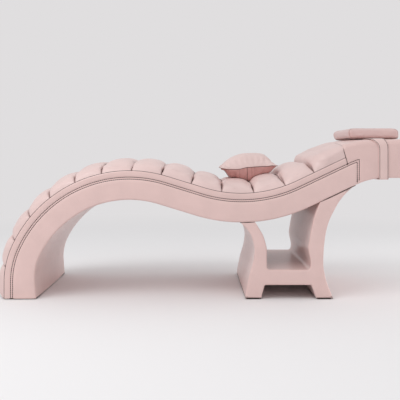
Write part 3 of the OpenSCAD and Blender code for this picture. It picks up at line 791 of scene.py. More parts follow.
def underside():
    cols = stations(S_PANEL, 9.0)
    rows = np.linspace(-1, 1, 25)
    points = []
    for s in cols:
        t = leaned(s, UNDER_END)
        for q in rows:
            x, z = off(t, -thickness(t) - UNDER_SAG * (1.0 - q ** 4))
            points.append((x, FLAT_W * q, z))
    return points, grid_faces(len(cols), len(rows), flip=True)


def build_sides():
    for word, side in SIDES:
        obj = piece("side_band_skin_" + word, *side_band(side), SIDE_LEATHER)
        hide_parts("side_band_" + word)
        obj = piece("side_panel_skin_" + word, *side_panel(side), SIDE_LEATHER)
        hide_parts("side_panel_" + word)
    obj = piece("underside_skin", *underside(), SIDE_LEATHER)
    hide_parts("underside_cover")


# Head block

HEAD_EDGE_STEPS = 8
HEAD_HALF_STEPS = 12
HEAD_LOW_D = SEAM_E[:7] + [18, 30, 45, 60, 75]
LEAD_STEPS = [0, 1.0, 2.5, 5, 9, 14, 20, 27, 34]
HEAD_DIP = 4.5
HEAD_DIP_X = 1556.0
END_SOFT_R = 9.0
END_STEP_COUNT = 8
END_CROWN = 2.2
# Depth of the pinch and of the crease at the upright seam, and of the waves beside it
LEAD_PINCH = 1.4
LEAD_CREASE = 2.0
LEAD_RIPPLE = 0.7
# Heights from which the thread of that seam stands proud, and sinks in again
LEAD_PROUD_Z = 686.0
LEAD_SUNK_Z = 712.0
# How far it stands out and up there, and sinks
LEAD_OUT = 1.6
LEAD_UP = 1.8
LEAD_SINK = 3.6
LEAD_THREAD_R = 1.1


def bezier(a, b, c, d, n):
    out = []
    for i in range(n + 1):
        t = i / n
        f = ((1 - t) ** 3, 3 * (1 - t) ** 2 * t, 3 * (1 - t) * t * t, t ** 3)
        out.append(tuple(f[0] * a[k] + f[1] * b[k] + f[2] * c[k] + f[3] * d[k] for k in range(2)))
    return out


def head_top_line():
    g = off(LAST_GROOVE_S, NECK_GROOVE_H)
    rise = HEAD_TOP - g[1]
    line = bezier(g, (g[0] + SHOULDER_RUN * 0.12, g[1] + rise * 0.8),
                  (g[0] + SHOULDER_RUN * 0.4, HEAD_TOP), (g[0] + SHOULDER_RUN, HEAD_TOP), 24)
    return [LEAD_TOP] + [p for p in line if p[0] > LEAD_TOP[0] + 2.0] + [(BODY_LEN, HEAD_TOP)]


TOP_LINE = head_top_line()


def head_top_z(x):
    dip = HEAD_DIP * smooth_step((x - LEAD_TOP[0]) / 25.0) * bell((x - HEAD_DIP_X) / 28.0)
    return float(np.interp(x, [p[0] for p in TOP_LINE], [p[1] for p in TOP_LINE])) - dip


# Columns of the head cover: the x of the foot on the stitch line, the x at the top and the run
def head_columns():
    cols = []
    length = HEAD_SEAM_X - LEAD_FOOT[0]
    for v in LEAD_STEPS + [length - e for e in reversed(SEAM_E[1:]) if length - e > LEAD_STEPS[-1]]:
        cols.append((LEAD_FOOT[0] + v, LEAD_TOP[0] + (HEAD_SEAM_X - LEAD_TOP[0]) * (v / length), v))
    rest = list(np.arange(46.0, BODY_LEN - HEAD_SEAM_X - HEAD_END_R, 10.0))
    for e in END_STEPS + rest:
        cols.append((HEAD_SEAM_X + e, HEAD_SEAM_X + e, length + e))
    return cols


def mirrored(half):
    return [(x, -y, z) for x, y, z in half] + [(x, y, z) for x, y, z in reversed(half[:-1])]


# From the near stitch line over the top of the block to the far one
def upper_loop(foot_x, top_x, v):
    foot = (foot_x, stitch_z(foot_x))
    top = (top_x, head_top_z(top_x))
    up = Vector((top[0] - foot[0], top[1] - foot[1]))
    height = up.length
    up = up / height
    pinch = LEAD_PINCH * bell(v / 3.0)
    crease = LEAD_CREASE * math.exp(-v / 4.0)
    arched = math.exp(-v / 60.0)
    edge_r = float(np.interp(top[1], [LEAD_TOP[1], HEAD_TOP], [LEAD_EDGE_R, HEAD_EDGE_R]))
    knee = height - edge_r
    flat_w = HALF_W - edge_r
    section = []
    for h in SEAM_E + list(np.linspace(22.0, knee, 7)):
        out = side_out(foot[0] + up[0] * h, h - STITCH_DROP) - pinch
        out -= 1.6 * smooth_step((h - knee + 30.0) / 30.0)
        out += LEAD_RIPPLE * math.sin(h / 4.2 + v / 9.0) * bell((v - 7.0) / 6.0)
        section.append((HALF_W + out, h))
    for a in quarter_turns(HEAD_EDGE_STEPS):
        y = flat_w + edge_r * math.cos(a) + (0.8 - pinch) * math.cos(a)
        h = knee + edge_r * math.sin(a) - crease * math.sin(a) - neck_drop(y) * math.sin(a) * arched
        section.append((y, h))
    for k in range(1, HEAD_HALF_STEPS + 1):
        q = 1.0 - k / HEAD_HALF_STEPS
        h = height - crease + 0.2 * (1.0 - q ** 4) * (1 - math.exp(-v / 30.0))
        section.append((flat_w * q, h - neck_drop(flat_w * q) * arched))
    return mirrored([(foot[0] + up[0] * h, y, foot[1] + up[1] * h) for y, h in section])


# From the near stitch line under the block to the far one
def lower_loop(x):
    e = x - HEAD_SEAM_X
    z0 = stitch_z(x)
    z1 = under_z(x)
    reach = z0 - z1 - EDGE_R
    sag = UNDER_SAG * math.exp(-e / 30.0)
    half = []
    for d in HEAD_LOW_D:
        h = reach * d / HEAD_LOW_D[-1] if d > 11 else d
        out = SIDE_PROUD + seam_dip(e) - 1.2 * smooth_step((h - reach + 24.0) / 24.0)
        half.append((x, HALF_W + out, z0 - h))
    for a in quarter_turns(EDGE_STEPS):
        out = (1.2 + seam_dip(e)) * math.cos(a)
        half.append((x, FLAT_W + EDGE_R * math.cos(a) + out, z1 + EDGE_R - EDGE_R * math.sin(a)))
    for k in range(1, HEAD_HALF_STEPS + 1):
        q = 1.0 - k / HEAD_HALF_STEPS
        half.append((x, FLAT_W * q, z1 - sag * (1.0 - q ** 4)))
    return mirrored(half)


# The rounded end: the last loop drawn in towards the end face
def end_rings(rim):
    z_mid = 0.5 * (HEAD_TOP + LEVEL_Z - BODY_T)
    z_half = 0.5 * (HEAD_TOP - LEVEL_Z + BODY_T)
    rings = [rim]
    for a in quarter_turns(END_STEP_COUNT):
        ring = []
        for x, y, z in rim:
            up = (z - z_mid) / z_half
            share = smooth_step((abs(up) - 0.2) / 0.8)
            r = END_SOFT_R + ((HEAD_END_R if up > 0 else HEAD_TOE_R) - END_SOFT_R) * share
            inset = r * (1 - math.cos(a)) * share
            side_inset = min(abs(y), END_SOFT_R * (1 - math.cos(a)))
            ring.append((BODY_LEN + 0.6 - r + r * math.sin(a), y - math.copysign(side_inset, y),
                         z - math.copysign(inset, up)))
        rings.append(ring)
    last = rings[-1]
    for f in (0.9, 0.72, 0.5, 0.25):
        x_end = last[0][0] + END_CROWN * (1 - f)
        rings.append([(x_end, y * f, z_mid + (z - z_mid) * f) for x, y, z in last])
    return rings, (rings[-1][0][0] + 0.4, 0.0, z_mid)


def build_head():
    cols = head_columns()
    loops = [upper_loop(*col) for col in cols]
    # The thread of the upright seam stands proud round the shoulder and fades on the top
    lead = []
    for x, y, z in loops[0]:
        proud = smooth_step((z - LEAD_PROUD_Z) / 10.0)
        sunk = smooth_step((z - LEAD_SUNK_Z) / 6.0)
        up = LEAD_UP * proud - LEAD_SINK * sunk
        lead.append((x - 0.4 + LEAD_OUT * proud, y * 1.002, z - 0.9 + up))
    tube_piece("head_lead_seam", [(resample(lead, 5.0), LEAD_THREAD_R, THREAD_SIDES)], THREAD)
    points = [p for loop in loops for p in loop]
    faces = grid_faces(len(loops), len(loops[0]))
    low_loops = [lower_loop(foot_x) for foot_x, top_x, v in cols if foot_x >= HEAD_SEAM_X - 1e-6]
    faces += grid_faces(len(low_loops), len(low_loops[0]), len(points), flip=True)
    points += [p for loop in low_loops for p in loop]
    rim = loops[-1] + list(reversed(low_loops[-1][1:-1]))
    rings, centre = end_rings(rim)
    faces += grid_faces(len(rings), len(rim), len(points), wrap=True)
    points += [p for ring in rings for p in ring]
    base = len(points) - len(rim)
    for k in range(len(rim)):
        faces.append((base + k, base + (k + 1) % len(rim), len(points)))
    points.append(centre)
    obj = piece("head_block_cover", points, faces, HEAD_LEATHER, slot="quilted_leather", change=join_up)
    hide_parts("head_cover", "head_pad")


# Base

BASE_AT = KNOTS[4][0] - DIP_R * math.sin(KNOTS[4][2]) + 18.0
BASE_W = 394.0
SHELF_H = 133.0
SHELF_T = 70.0
SHELF_R = 14.0
BASE_HALF = HALF_W - 2.0
BASE_EDGE_R = 8.0
BASE_EDGE_STEPS = 5
FOOT_CORNER_R = 6.0
# The rounding of the edges fades out over this run towards the tips of the legs
# Thickness of the dark cords of painted shadow where the body meets the base
TIP_RUN = 45.0
JOINT_SHADOW_CORD_R = 1.5
INTO_BODY = 1.5
LEG_STEPS = 8
# Where the feet begin and end, and where the hollow between them does at its top
FEET = ((0.0, 0.18), (0.81, 1.0))
HOLLOW = (0.222, 0.755)
BASE_SKINS = (("foot_side", "base_wrap_skin_foot_side", "base_wrap_foot_side"),
              ("lining", "base_lining_skin", "base_lining_cover"),
              ("head_side", "base_wrap_skin_head_side", "base_wrap_head_side"),
              ("floor", "base_floor_skin", "base_floor_cover"))
# The legs' lines, as shares of the base's length and of the height to the body
LOW_OUTER = [(0, 0), (0.008, 0.1), (0.045, 0.3), (0.09, 0.48), (0.105, 0.64), (0.08, 0.78),
             (0.04, 0.87), (-0.06, 1), (-0.12, 1.06)]
LOW_INNER = [(0.246, 0.38), (0.246, 0.5), (0.245, 0.64), (0.232, 0.72), (0.2, 0.83),
             (0.165, 0.9), (0.11, 1), (0.04, 1.1)]
HIGH_INNER = [(0.742, 0.26), (0.745, 0.33), (0.728, 0.4), (0.72, 0.45), (0.726, 0.49), (0.749, 0.6),
              (0.782, 0.71), (0.805, 0.77), (0.85, 0.855), (0.91, 0.94), (0.96, 1)]
HIGH_OUTER = [(1, 0), (0.98, 0.05), (0.93, 0.15), (0.9, 0.25), (0.893, 0.33), (0.902, 0.47),
              (0.926, 0.6), (0.964, 0.7), (1.02, 0.79), (1.08, 0.87), (1.16, 0.945), (1.25, 1.01)]
LOW_H = under_z(BASE_AT + 0.051 * BASE_W)
HIGH_H = under_z(BASE_AT + 1.225 * BASE_W)


def base_x(share):
    return BASE_AT + share * BASE_W


def curve_point(p, i, t):
    n = len(p) - 1
    a, b, c, d = (np.array(p[k]) for k in (max(i - 1, 0), i, min(i + 1, n), min(i + 2, n)))
    square = 2 * a - 5 * b + 4 * c - d
    cube = 3 * b - a - 3 * c + d
    return (2 * b + (c - a) * t + square * t ** 2 + cube * t ** 3) / 2


def leg_curve(shares, h):
    p = [(base_x(q[0]), FLOOR_Z + q[1] * (h - FLOOR_Z)) for q in shares]
    out = [tuple(curve_point(p, i, j / LEG_STEPS)) for i in range(len(p) - 1) for j in range(LEG_STEPS)]
    return out + [tuple(p[-1])]


# The part of an upward curve that lies under the body, ending just inside it
def under_body(curve):
    def below(p):
        return p[1] <= under_z(p[0]) + INTO_BODY

    a, b = curve[-2], curve[-1]
    curve = curve + [(b[0] + 4 * (b[0] - a[0]), b[1] + 4 * (b[1] - a[1]))]
    count = [below(p) for p in curve].index(False)
    end = narrowed(below, np.array(curve[count - 1]), np.array(curve[count]), 30)[0]
    return curve[:count] + [tuple(end)]


# Rounds the corner at b of a path a-b-c
def rounded(a, b, c, r, n=5):
    p = Vector(b) + heading(b, a) * r
    q = Vector(b) + heading(b, c) * r
    out = []
    for i in range(n + 1):
        t = i / n
        out.append(tuple((1 - t) ** 2 * p + 2 * (1 - t) * t * Vector(b) + t * t * q))
    return out


# The stretches of the base's contour, clockwise as seen from the near side
def base_stretches():
    low_outer = under_body(leg_curve(LOW_OUTER, LOW_H))
    low_inner = under_body(leg_curve(LOW_INNER, LOW_H))
    high_inner = under_body(leg_curve(HIGH_INNER, HIGH_H))
    high_outer = under_body(leg_curve(HIGH_OUTER, HIGH_H))
    x0 = low_inner[0][0] + SHELF_R
    x1 = high_inner[0][0] - SHELF_R
    corner_z = SHELF_H + SHELF_R
    lining = list(reversed([p for p in low_inner if p[1] > corner_z]))
    lining += arc_points(x0, corner_z, SHELF_R, 180, 270, 8)
    lining += line_points((x0, SHELF_H), (x1, SHELF_H), 14)[1:-1]
    lining += arc_points(x1, corner_z, SHELF_R, 270, 360, 8)
    lining += [p for p in high_inner if p[1] > corner_z]
    top = [p[0] for p in line_points(high_inner[-1], high_outer[-1], 12)[1:-1]]
    low = (base_x(FEET[0][1]), FLOOR_Z)
    low_top = (base_x(HOLLOW[0]), SHELF_H - SHELF_T)
    high_top = (base_x(HOLLOW[1]), SHELF_H - SHELF_T)
    high = (base_x(FEET[1][0]), FLOOR_Z)
    floor = [p for p in line_points(high, high_top, 6) if p[1] < high_top[1] - 7]
    floor += rounded(high, high_top, low_top, FOOT_CORNER_R)
    floor += line_points(high_top, low_top, 14)[1:-1]
    floor += rounded(high_top, low_top, low, FOOT_CORNER_R)
    floor += [p for p in line_points(low_top, low, 6) if p[1] < low_top[1] - 7]
    return {
        "foot_side": low_outer,
        "low_top": line_points(low_outer[-1], low_inner[-1], 6),
        "lining": lining,
        "high_top": [high_inner[-1]] + [(x, under_z(x) + INTO_BODY) for x in top] + [high_outer[-1]],
        "head_side": list(reversed(high_outer)),
        "head_foot": line_points(high_outer[0], high, 5),
        "floor": floor,
        "foot_foot": line_points(low, low_outer[0], 5),
    }


# One closed contour, and the first and last point of each stretch in it
def base_contour():
    contour, spans = [], {}
    for name, pts in base_stretches().items():
        joins = bool(contour) and math.dist(contour[-1], pts[0]) < 1e-3
        first = len(contour) - joins
        contour += pts[1:] if joins else pts
        spans[name] = (first, len(contour) - 1)
    if math.dist(contour[0], contour[-1]) < 1e-3:
        contour.pop()
    return contour, spans


def build_base():
    contour, spans = base_contour()
    n = len(contour)
    normals = []
    for i in range(n):
        v = heading(contour[i - 1], contour[(i + 1) % n])
        normals.append((-v[1], v[0]))
    tips = [contour[spans["foot_side"][1]], contour[spans["low_top"][1]], contour[spans["high_top"][0]],
            contour[spans["head_side"][0]]]
    round_r = []
    for p in contour:
        near = min(math.dist(p, tip) for tip in tips)
        round_r.append(BASE_EDGE_R * smooth_step(near / TIP_RUN) + 0.3)
    ring = [BASE_EDGE_STEPS * n + i for i in range(n)]

    def close_side(work):
        work.verts.ensure_lookup_table()
        edges = [work.edges.get((work.verts[a], work.verts[b])) for a, b in zip(ring, ring[1:] + ring[:1])]
        edges = [e for e in edges if e is not None]
        bmesh.ops.triangle_fill(work, use_beauty=True, use_dissolve=False, edges=edges)
        turn_out(work)

    for word, side in SIDES:
        points = []
        for a in quarter_turns(BASE_EDGE_STEPS, first=0):
            for p, normal, r in zip(contour, normals, round_r):
                x = p[0] - normal[0] * r * (1 - math.cos(a))
                z = p[1] - normal[1] * r * (1 - math.cos(a))
                points.append((x, side * (BASE_HALF - r + r * math.sin(a)), max(z, FLOOR_Z)))
        faces = grid_faces(BASE_EDGE_STEPS + 1, n, wrap=True, flip=side < 0)
        obj = piece("base_cover_" + word, points, faces, BASE_LEATHER, change=close_side)
        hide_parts("base_side_cover_" + word)
    # Dark cords where the body meets the base's sides: painted shadow standing in for the gap at that joint
    joint_shadow_cords = []
    for side in (-1, 1):
        for key in ("low_top", "high_top"):
            line = []
            for i in range(spans[key][0], spans[key][1] + 1):
                x = contour[i % n][0]
                line.append((x, side * (BASE_HALF - 0.8), under_z(x) - 0.6))
            joint_shadow_cords.append((resample(line, 8.0), JOINT_SHADOW_CORD_R, THREAD_SIDES))
    tube_piece("base_joint_shadow_cords", joint_shadow_cords, THREAD)
    across = np.linspace(-1, 1, 25)
    for key, name, node in BASE_SKINS:
        first, last = spans[key]
        points = []
        for i in range(first, last + 1):
            x, z = contour[i % n]
            points += [(x, q * (BASE_HALF - round_r[i % n]), z) for q in across]
        obj = piece(name, points, grid_faces(last - first + 1, len(across)), BASE_LEATHER)
        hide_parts(node)


# Head pillow and strap

STRAP_X = BODY_LEN - 142.0
STRAP_W = 43.0
STRAP_T = 3.0
STRAP_GAP = 0.3
STRAP_LOW = under_z(STRAP_X - STRAP_W / 2 - 15.0) - STRAP_GAP
STRAP_LOW_R = 6
STRAP_THREAD_IN = 3.2
STRAP_THREAD_SHADE_R = 1.0
STRAP_BEVEL = 0.8
# How far the strap leans where it turns over the edge, and how far it spreads
STRAP_LEAN = 25.0
STRAP_SPREAD = 10.0
PILLOW_L = 234.0
PILLOW_W = 360.0
PILLOW_T = 47.0
PILLOW_X = BODY_LEN - 30.0 - PILLOW_L / 2
PILLOW_LOW = HEAD_TOP + STRAP_GAP + STRAP_T
PILLOW_FULL = (PILLOW_L + 10, PILLOW_W + 6, PILLOW_T + 2)
PILLOW_PLAN_R = 18.0
PILLOW_LOW_R = 15.0
PILLOW_TOP_R = 17.0
PILLOW_SIDE_STEPS = (22, 34)
PILLOW_CORNER_STEPS = 7
PILLOW_CROWN = 2.5
PILLOW_DRAW = 13.0
# Rings at the lower and at the upper end of the pillow's wall seams
PILLOW_EDGE_RING = 7
PILLOW_TOP_RING = 17
PILLOW_EDGE_SEAM_SHADOW_R = 1.6
PILLOW_THREAD_R = 0.7
# Points below this height are pinned, and the skin isn't pressed down there before the swelling
PILLOW_PINNED_Z = 6.0


# The strap leans and spreads where it turns over the top edge
def strap_x(sx, z):
    over = min(1.0, max(0.0, (z - HEAD_TOP + 46.0) / 48.0)) ** 2.2
    return sx - (STRAP_LEAN - STRAP_SPREAD * sx / (STRAP_W / 2)) * over


# The strap's middle line round the block, as points of y and z
def strap_path():
    grow = STRAP_GAP + STRAP_T / 2
    w = HALF_W + 2.6 + grow
    r = HEAD_EDGE_R + grow
    flat_w = w - r
    low = STRAP_LOW - STRAP_T / 2
    top = HEAD_TOP + grow - r
    rise = top - low - STRAP_LOW_R
    path = [(-w + STRAP_LOW_R + (2 * w - 2 * STRAP_LOW_R) * i / 30, low) for i in range(31)]
    path += arc_points(w - STRAP_LOW_R, low + STRAP_LOW_R, STRAP_LOW_R, -90, 0, 5)[1:]
    path += [(w, low + STRAP_LOW_R + rise * i / 14) for i in range(1, 15)]
    path += arc_points(flat_w, top, r, 0, 90, 9)[1:]
    path += [(flat_w - 2 * flat_w * i / 30, HEAD_TOP + grow) for i in range(1, 31)]
    path += arc_points(-flat_w, top, r, 90, 180, 9)[1:]
    path += [(-w, top - rise * i / 14) for i in range(1, 15)]
    return path + arc_points(-w + STRAP_LOW_R, low + STRAP_LOW_R, STRAP_LOW_R, 180, 270, 5)[1:-1]


def build_strap():
    path = strap_path()
    n = len(path)
    hw = STRAP_W / 2
    t = STRAP_T / 2
    b = STRAP_BEVEL
    section = [(-hw + b, t), (-hw + STRAP_THREAD_IN, t - 0.5), (-hw + 5.5, t), (0, t + 0.3), (hw - 5.5, t),
               (hw - STRAP_THREAD_IN, t - 0.5), (hw - b, t), (hw, t - b), (hw, -t + b), (hw - b, -t),
               (-hw + b, -t), (-hw, -t + b), (-hw, t - b)]

    def at(i, sx, sn):
        y, z = path[i]
        v = heading(path[i - 1], path[(i + 1) % n])
        return (STRAP_X + strap_x(sx, z), y + v[1] * sn, z - v[0] * sn)

    # Two dark stitch rows near the strap's edges, made thick so that they also stand in for the shade along
    # those edges (painted shade)
    threads = []
    for edge in (-1, 1):
        line = [at(i, edge * (hw - STRAP_THREAD_IN), t - 0.3) for i in range(n)]
        threads.append((resample(line, 6.0)[:-1], STRAP_THREAD_SHADE_R, STITCH_SIDES, True))
    tube_piece("pillow_strap_threads_and_edge_shade", threads, THREAD, body="pillow")
    points = [at(i, sx, sn) for i in range(n) for sx, sn in section]
    faces = grid_faces(n, len(section), wrap=True, closed=True)
    obj = piece("pillow_strap", points, faces, STRAP_LEATHER, body="pillow", change=turn_out)
    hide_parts("head_pillow_strap")


# A rounded rectangle, walked round once; every ring has the same count of points
def plan_ring(inset):
    hx, hy = PILLOW_FULL[0] / 2 - inset, PILLOW_FULL[1] / 2 - inset
    r = max(2.0, PILLOW_PLAN_R - inset * 0.55)
    ring = []
    corners = [(hx - r, -hy + r, -90), (hx - r, hy - r, 0), (-hx + r, hy - r, 90), (-hx + r, -hy + r, 180)]
    for c, (cx, cy, a0) in enumerate(corners):
        ring += arc_points(cx, cy, r, a0, a0 + 90.0, PILLOW_CORNER_STEPS)[:-1]
        nx, ny, b0 = corners[(c + 1) % 4]
        start = (cx + r * math.cos(rad(a0 + 90)), cy + r * math.sin(rad(a0 + 90)))
        end = (nx + r * math.cos(rad(b0)), ny + r * math.sin(rad(b0)))
        steps = PILLOW_SIDE_STEPS[c % 2]
        for k in range(steps):
            f = k / steps
            ring.append((start[0] + (end[0] - start[0]) * f, start[1] + (end[1] - start[1]) * f))
    return ring


# Rings from the middle of the underside round the wall to the middle of the top
def pillow_rings():
    low, top, lz = PILLOW_LOW_R, PILLOW_TOP_R, PILLOW_FULL[2]
    levels = [(low, f, 0.0) for f in (0.12, 0.3, 0.5, 0.7, 0.86)]
    for a in quarter_turns(4, first=0):
        levels.append((low * (1 - math.sin(a)), 1.0, low * (1 - math.cos(a))))
    levels += [(0.0, 1.0, low + (lz - low - top) * f) for f in (0.33, 0.66)]
    for a in quarter_turns(5, first=0):
        levels.append((top * (1 - math.cos(a)), 1.0, lz - top * (1 - math.sin(a))))
    for f in (0.9, 0.8, 0.68, 0.55, 0.42, 0.3, 0.18, 0.08):
        levels.append((top, f, lz + PILLOW_CROWN * (1 - f * f)))
    return [[(x * f, y * f, z) for x, y in plan_ring(inset)] for inset, f, z in levels]


def ring_shell(rings):
    n = len(rings[0])
    points = [p for ring in rings for p in ring]
    faces = grid_faces(len(rings), n, wrap=True)
    for ring, flip in ((0, True), (len(rings) - 1, False)):
        centre = len(points)
        points.append(tuple(np.mean(np.array(rings[ring]), axis=0)))
        for k in range(n):
            a, b = ring * n + k, ring * n + (k + 1) % n
            faces.append((b, a, centre) if flip else (a, b, centre))
    return points, faces


def build_pillow():
    rings = pillow_rings()
    n = len(rings[0])
    points, faces = ring_shell(rings)
    pinned = [k for k, p in enumerate(points) if p[2] < PILLOW_PINNED_Z]
    shrunk = [(x * 0.992, y * 0.994, z * 0.97 if z > PILLOW_PINNED_Z else z) for x, y, z in points]
    placed = []
    for x, y, z in swell(shrunk, faces, pinned, pressure=3.0, growth=0.004, cap=4.0):
        # The foot end is drawn in towards its lower edge
        lean = PILLOW_DRAW * smooth_step((-x - 60.0) / 50.0) * max(0.0, 1.0 - z / PILLOW_T) ** 2.4
        placed.append((x + PILLOW_X + lean, y, max(z, 0.0) + PILLOW_LOW))
    obj = piece("head_pillow_cover", placed, faces, PILLOW_LEATHER, "pillow", "cushion_leather", turn_out)
    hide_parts("head_pillow")
    # A dark seam cord round the lower edge, made thick so that it also stands in for the shadow gap under
    # the pillow (painted shadow), and the upright seams at the corners
    edge = shifted(placed[PILLOW_EDGE_RING * n:(PILLOW_EDGE_RING + 1) * n], 0.4)
    run = (edge, PILLOW_EDGE_SEAM_SHADOW_R, THREAD_SIDES, True)
    tube_piece("head_pillow_under_seam_and_shadow", [run], THREAD, body="pillow")
    uprights = []
    for corner in range(4):
        k = corner * PILLOW_CORNER_STEPS + sum(PILLOW_SIDE_STEPS[c % 2] for c in range(corner))
        k += PILLOW_CORNER_STEPS // 2
        line = []
        for ring in range(PILLOW_EDGE_RING, PILLOW_TOP_RING + 1):
            x, y, z = placed[ring * n + k]
            out = Vector((x - PILLOW_X, y, 0)).normalized()
            line.append((x + 0.2 * out.x, y + 0.2 * out.y, z + 0.1))
        uprights.append((line, PILLOW_THREAD_R, THREAD_SIDES))
    tube_piece("head_pillow_seams", uprights, SOFT_THREAD, body="pillow")


# Loose cushion

CUSHION_W = 262.0
CUSHION_CROWN = 51.0
CUSHION_DEPTH = 92.0
CUSHION_MOST_UP = 64.0
CUSHION_PULL = 9.0
CUSHION_TILT = 2.5
CUSHION_X = 1109.38
CUSHION_Z = 599.88
CUSHION_GAP = 1.2
CUSHION_HALF_ROWS = 24
CUSHION_PLEATS = 4.0
# How far the seam waves, hangs and droops at the foot side, and half its thickness
CUSHION_WAVE = 2.4
CUSHION_HANG = 6.0
CUSHION_DROOP = 8.0
CUSHION_RIM = 1.5
CUSHION_RIM_R = 1.5
CUSHION_RIM_THREAD_R = 1.2
CUSHION_THREAD_R = 0.9
CUSHION_CREASE_SHADE_R = 0.6
# Rows of the thin darker lines on the underside, counted from the middle: painted shade of its creases
CUSHION_CREASE_SHADE_ROWS = (-5, 3, 5)
# How far the corners reach out, at the foot side and at the head side
CUSHION_EARS = (-4.0, 13.0)
# Power along, root and power across of the swell, for top and underside, foot side and head side
CUSHION_RISE = (((1.6, 0.7, 2.2), (4.0, 0.6, 2.2)), ((1.2, 0.85, 3.2), (1.9, 0.6, 3.2)))


def cushion_plan(a, b):
    ear = CUSHION_EARS[a >= 0] * abs(a * b) ** 4
    half = CUSHION_W / 2
    return (a * (half + ear - CUSHION_PULL * a * a * (1 - b * b)),
            b * (half + ear - CUSHION_PULL * b * b * (1 - a * a)))


# A point of the top, level 0, or of the underside, level 1
def cushion_local(a, b, level):
    x, y = cushion_plan(a, b)
    power, root, across = CUSHION_RISE[level][a >= 0]
    rise = max(0.0, 1 - abs(a) ** power) ** root * max(0.0, 1 - abs(b) ** across) ** 0.6
    if level == 1 and a < 0:
        rise *= smooth_step((0.88 + a) / 0.3)
    # Gathers at the seam, fading towards the middle
    outward, along = (a, b) if abs(a) > abs(b) else (b, a)
    edge = 1.0 - abs(outward)
    side = math.copysign(1.0 if abs(a) > abs(b) else 2.0, outward) if outward else -2.0
    pleat = noise.noise(Vector((along * 9.0, side * 4.0 + level * 9.0, edge * 1.5)))
    pleat += 0.6 * math.sin(along * 31.0 + side * 2.0)
    pleats = CUSHION_PLEATS * pleat * bell((edge - 0.16) / 0.15)
    # The seam waves, and droops at the foot side
    wave = CUSHION_WAVE * noise.noise(Vector((x / 34.0, y / 34.0, 3.3))) - CUSHION_HANG
    wave -= CUSHION_DROOP * math.exp(-((x + 64.0) / 54.0) ** 4)
    wave *= 1.0 - rise
    if level == 0:
        return (x, y, CUSHION_RIM + wave + CUSHION_CROWN * rise + pleats * min(1.0, rise * 2))
    return (x, y, -CUSHION_RIM + wave - CUSHION_DEPTH * rise + 0.6 * pleats * min(1.0, rise * 2))


# Lays the cushion's points on the pads: near a pad, the underside follows it
def cushion_placed(points, quilt):
    tilt = rad(CUSHION_TILT)
    pads = BVHTree.FromPolygons([Vector(v) for v in quilt[0]], quilt[1])
    placed = []
    for x, y, z in points:
        z = min(z, CUSHION_MOST_UP)
        px = x * math.cos(tilt) - z * math.sin(tilt) + CUSHION_X
        pz = x * math.sin(tilt) + z * math.cos(tilt) + CUSHION_Z
        hit = pads.ray_cast(Vector((px, y, 900.0)), Vector((0, 0, -1)))[0]
        if hit is not None:
            gap = pz - hit.z - CUSHION_GAP
            pz = hit.z + CUSHION_GAP + 0.5 * (gap + math.sqrt(gap * gap + 9.0))
        placed.append((px, y, pz))
    return placed


def build_cushion(quilt):
    half = CUSHION_HALF_ROWS
    n = 2 * half + 1
    m = n * n
    line = end_heavy(half, 0.6)
    points = [cushion_local(a, b, level) for level in (0, 1) for a in line for b in line]
    upper = grid_faces(n, n, flip=True)
    lower = grid_faces(n, n, m)
    around = [k for k in range(n - 1)] + [j * n + n - 1 for j in range(n - 1)]
    around += [(n - 1) * n + k for k in range(n - 1, 0, -1)] + [j * n for j in range(n - 1, 0, -1)]
    walls = [(a, b, b + m, a + m) for a, b in zip(around, around[1:] + around[:1])]
    faces = upper + lower + walls
    pinned = around + [k + m for k in around]
    swollen = swell(points, faces, pinned, pressure=3.0, growth=0.035, cap=7.0, stiff=12.0)
    placed = cushion_placed(swollen, quilt)
    obj = piece("loose_cushion_cover", placed, faces, CUSHION_LEATHER, "cushion", "cushion_leather",
                turn_out)
    # The underside takes the darker leather: painted shade beneath the cushion
    obj.data.materials.append(CUSHION_UNDER_SHADE)
    for i in range(len(upper), len(upper) + len(lower)):
        obj.data.polygons[i].material_index = 1
    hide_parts("loose_cushion")
    # Rolled seam round the rim, thin darker lines on the underside that stand in for the shade in its
    # creases (painted shade), and threads on the underside
    rim = [tuple((Vector(placed[k]) + Vector(placed[k + m])) / 2) for k in around]
    run = (rim, CUSHION_RIM_R, 8, True)
    tube_piece("loose_cushion_rim", [run], CUSHION_LEATHER, "cushion", "cushion_leather")
    crease_shades = []
    for shift in CUSHION_CREASE_SHADE_ROWS:
        path = [placed[m + (half + shift) * n + k] for k in range(n)]
        crease_shades.append((shifted(path, -0.1), CUSHION_CREASE_SHADE_R, THREAD_SIDES))
    tube_piece("loose_cushion_crease_shades", crease_shades, SOFT_THREAD, body="cushion")
    threads = [(shifted(rim, -2.0), CUSHION_RIM_THREAD_R, THREAD_SIDES, True)]
    for fixed in (0, 1):
        path = [placed[m + (half * n + k if fixed else k * n + half)] for k in range(n)]
        threads.append((shifted(path, -0.3), CUSHION_THREAD_R, THREAD_SIDES))
    tube_piece("loose_cushion_threads", threads, THREAD, body="cushion")


# Seams and stitches

STITCH_ROWS = (4.5, -4.5)
STITCH_R = 1.9
STITCH_LENGTH = 8
STITCH_SPACE = 1
STITCH_DIP = 1.4
STITCH_SIDES = 5
SEAM_SHADE_CORD_R = 0.95
# Thicknesses of those lines of painted contact shadow
CONTACT_SHADOW_R = 1.5
FOOT_END_CONTACT_SHADOW_R = 1.4
# How far the painted contact shadow lines across the ends stop short of the edges
CONTACT_SHADOW_SHORT = 8.0


# Along the side at a distance inside the double seam, round its corner and down
def seam_path(offset):
    corner_x = HEAD_SEAM_X + offset
    level = -STITCH_DROP + offset
    path = [off(s, level) for s in np.linspace(4.0, s_at_x(corner_x, level), 420)]
    return path + line_points((corner_x, path[-1][1]), (corner_x, under_z(corner_x) + EDGE_R), 24)[1:]


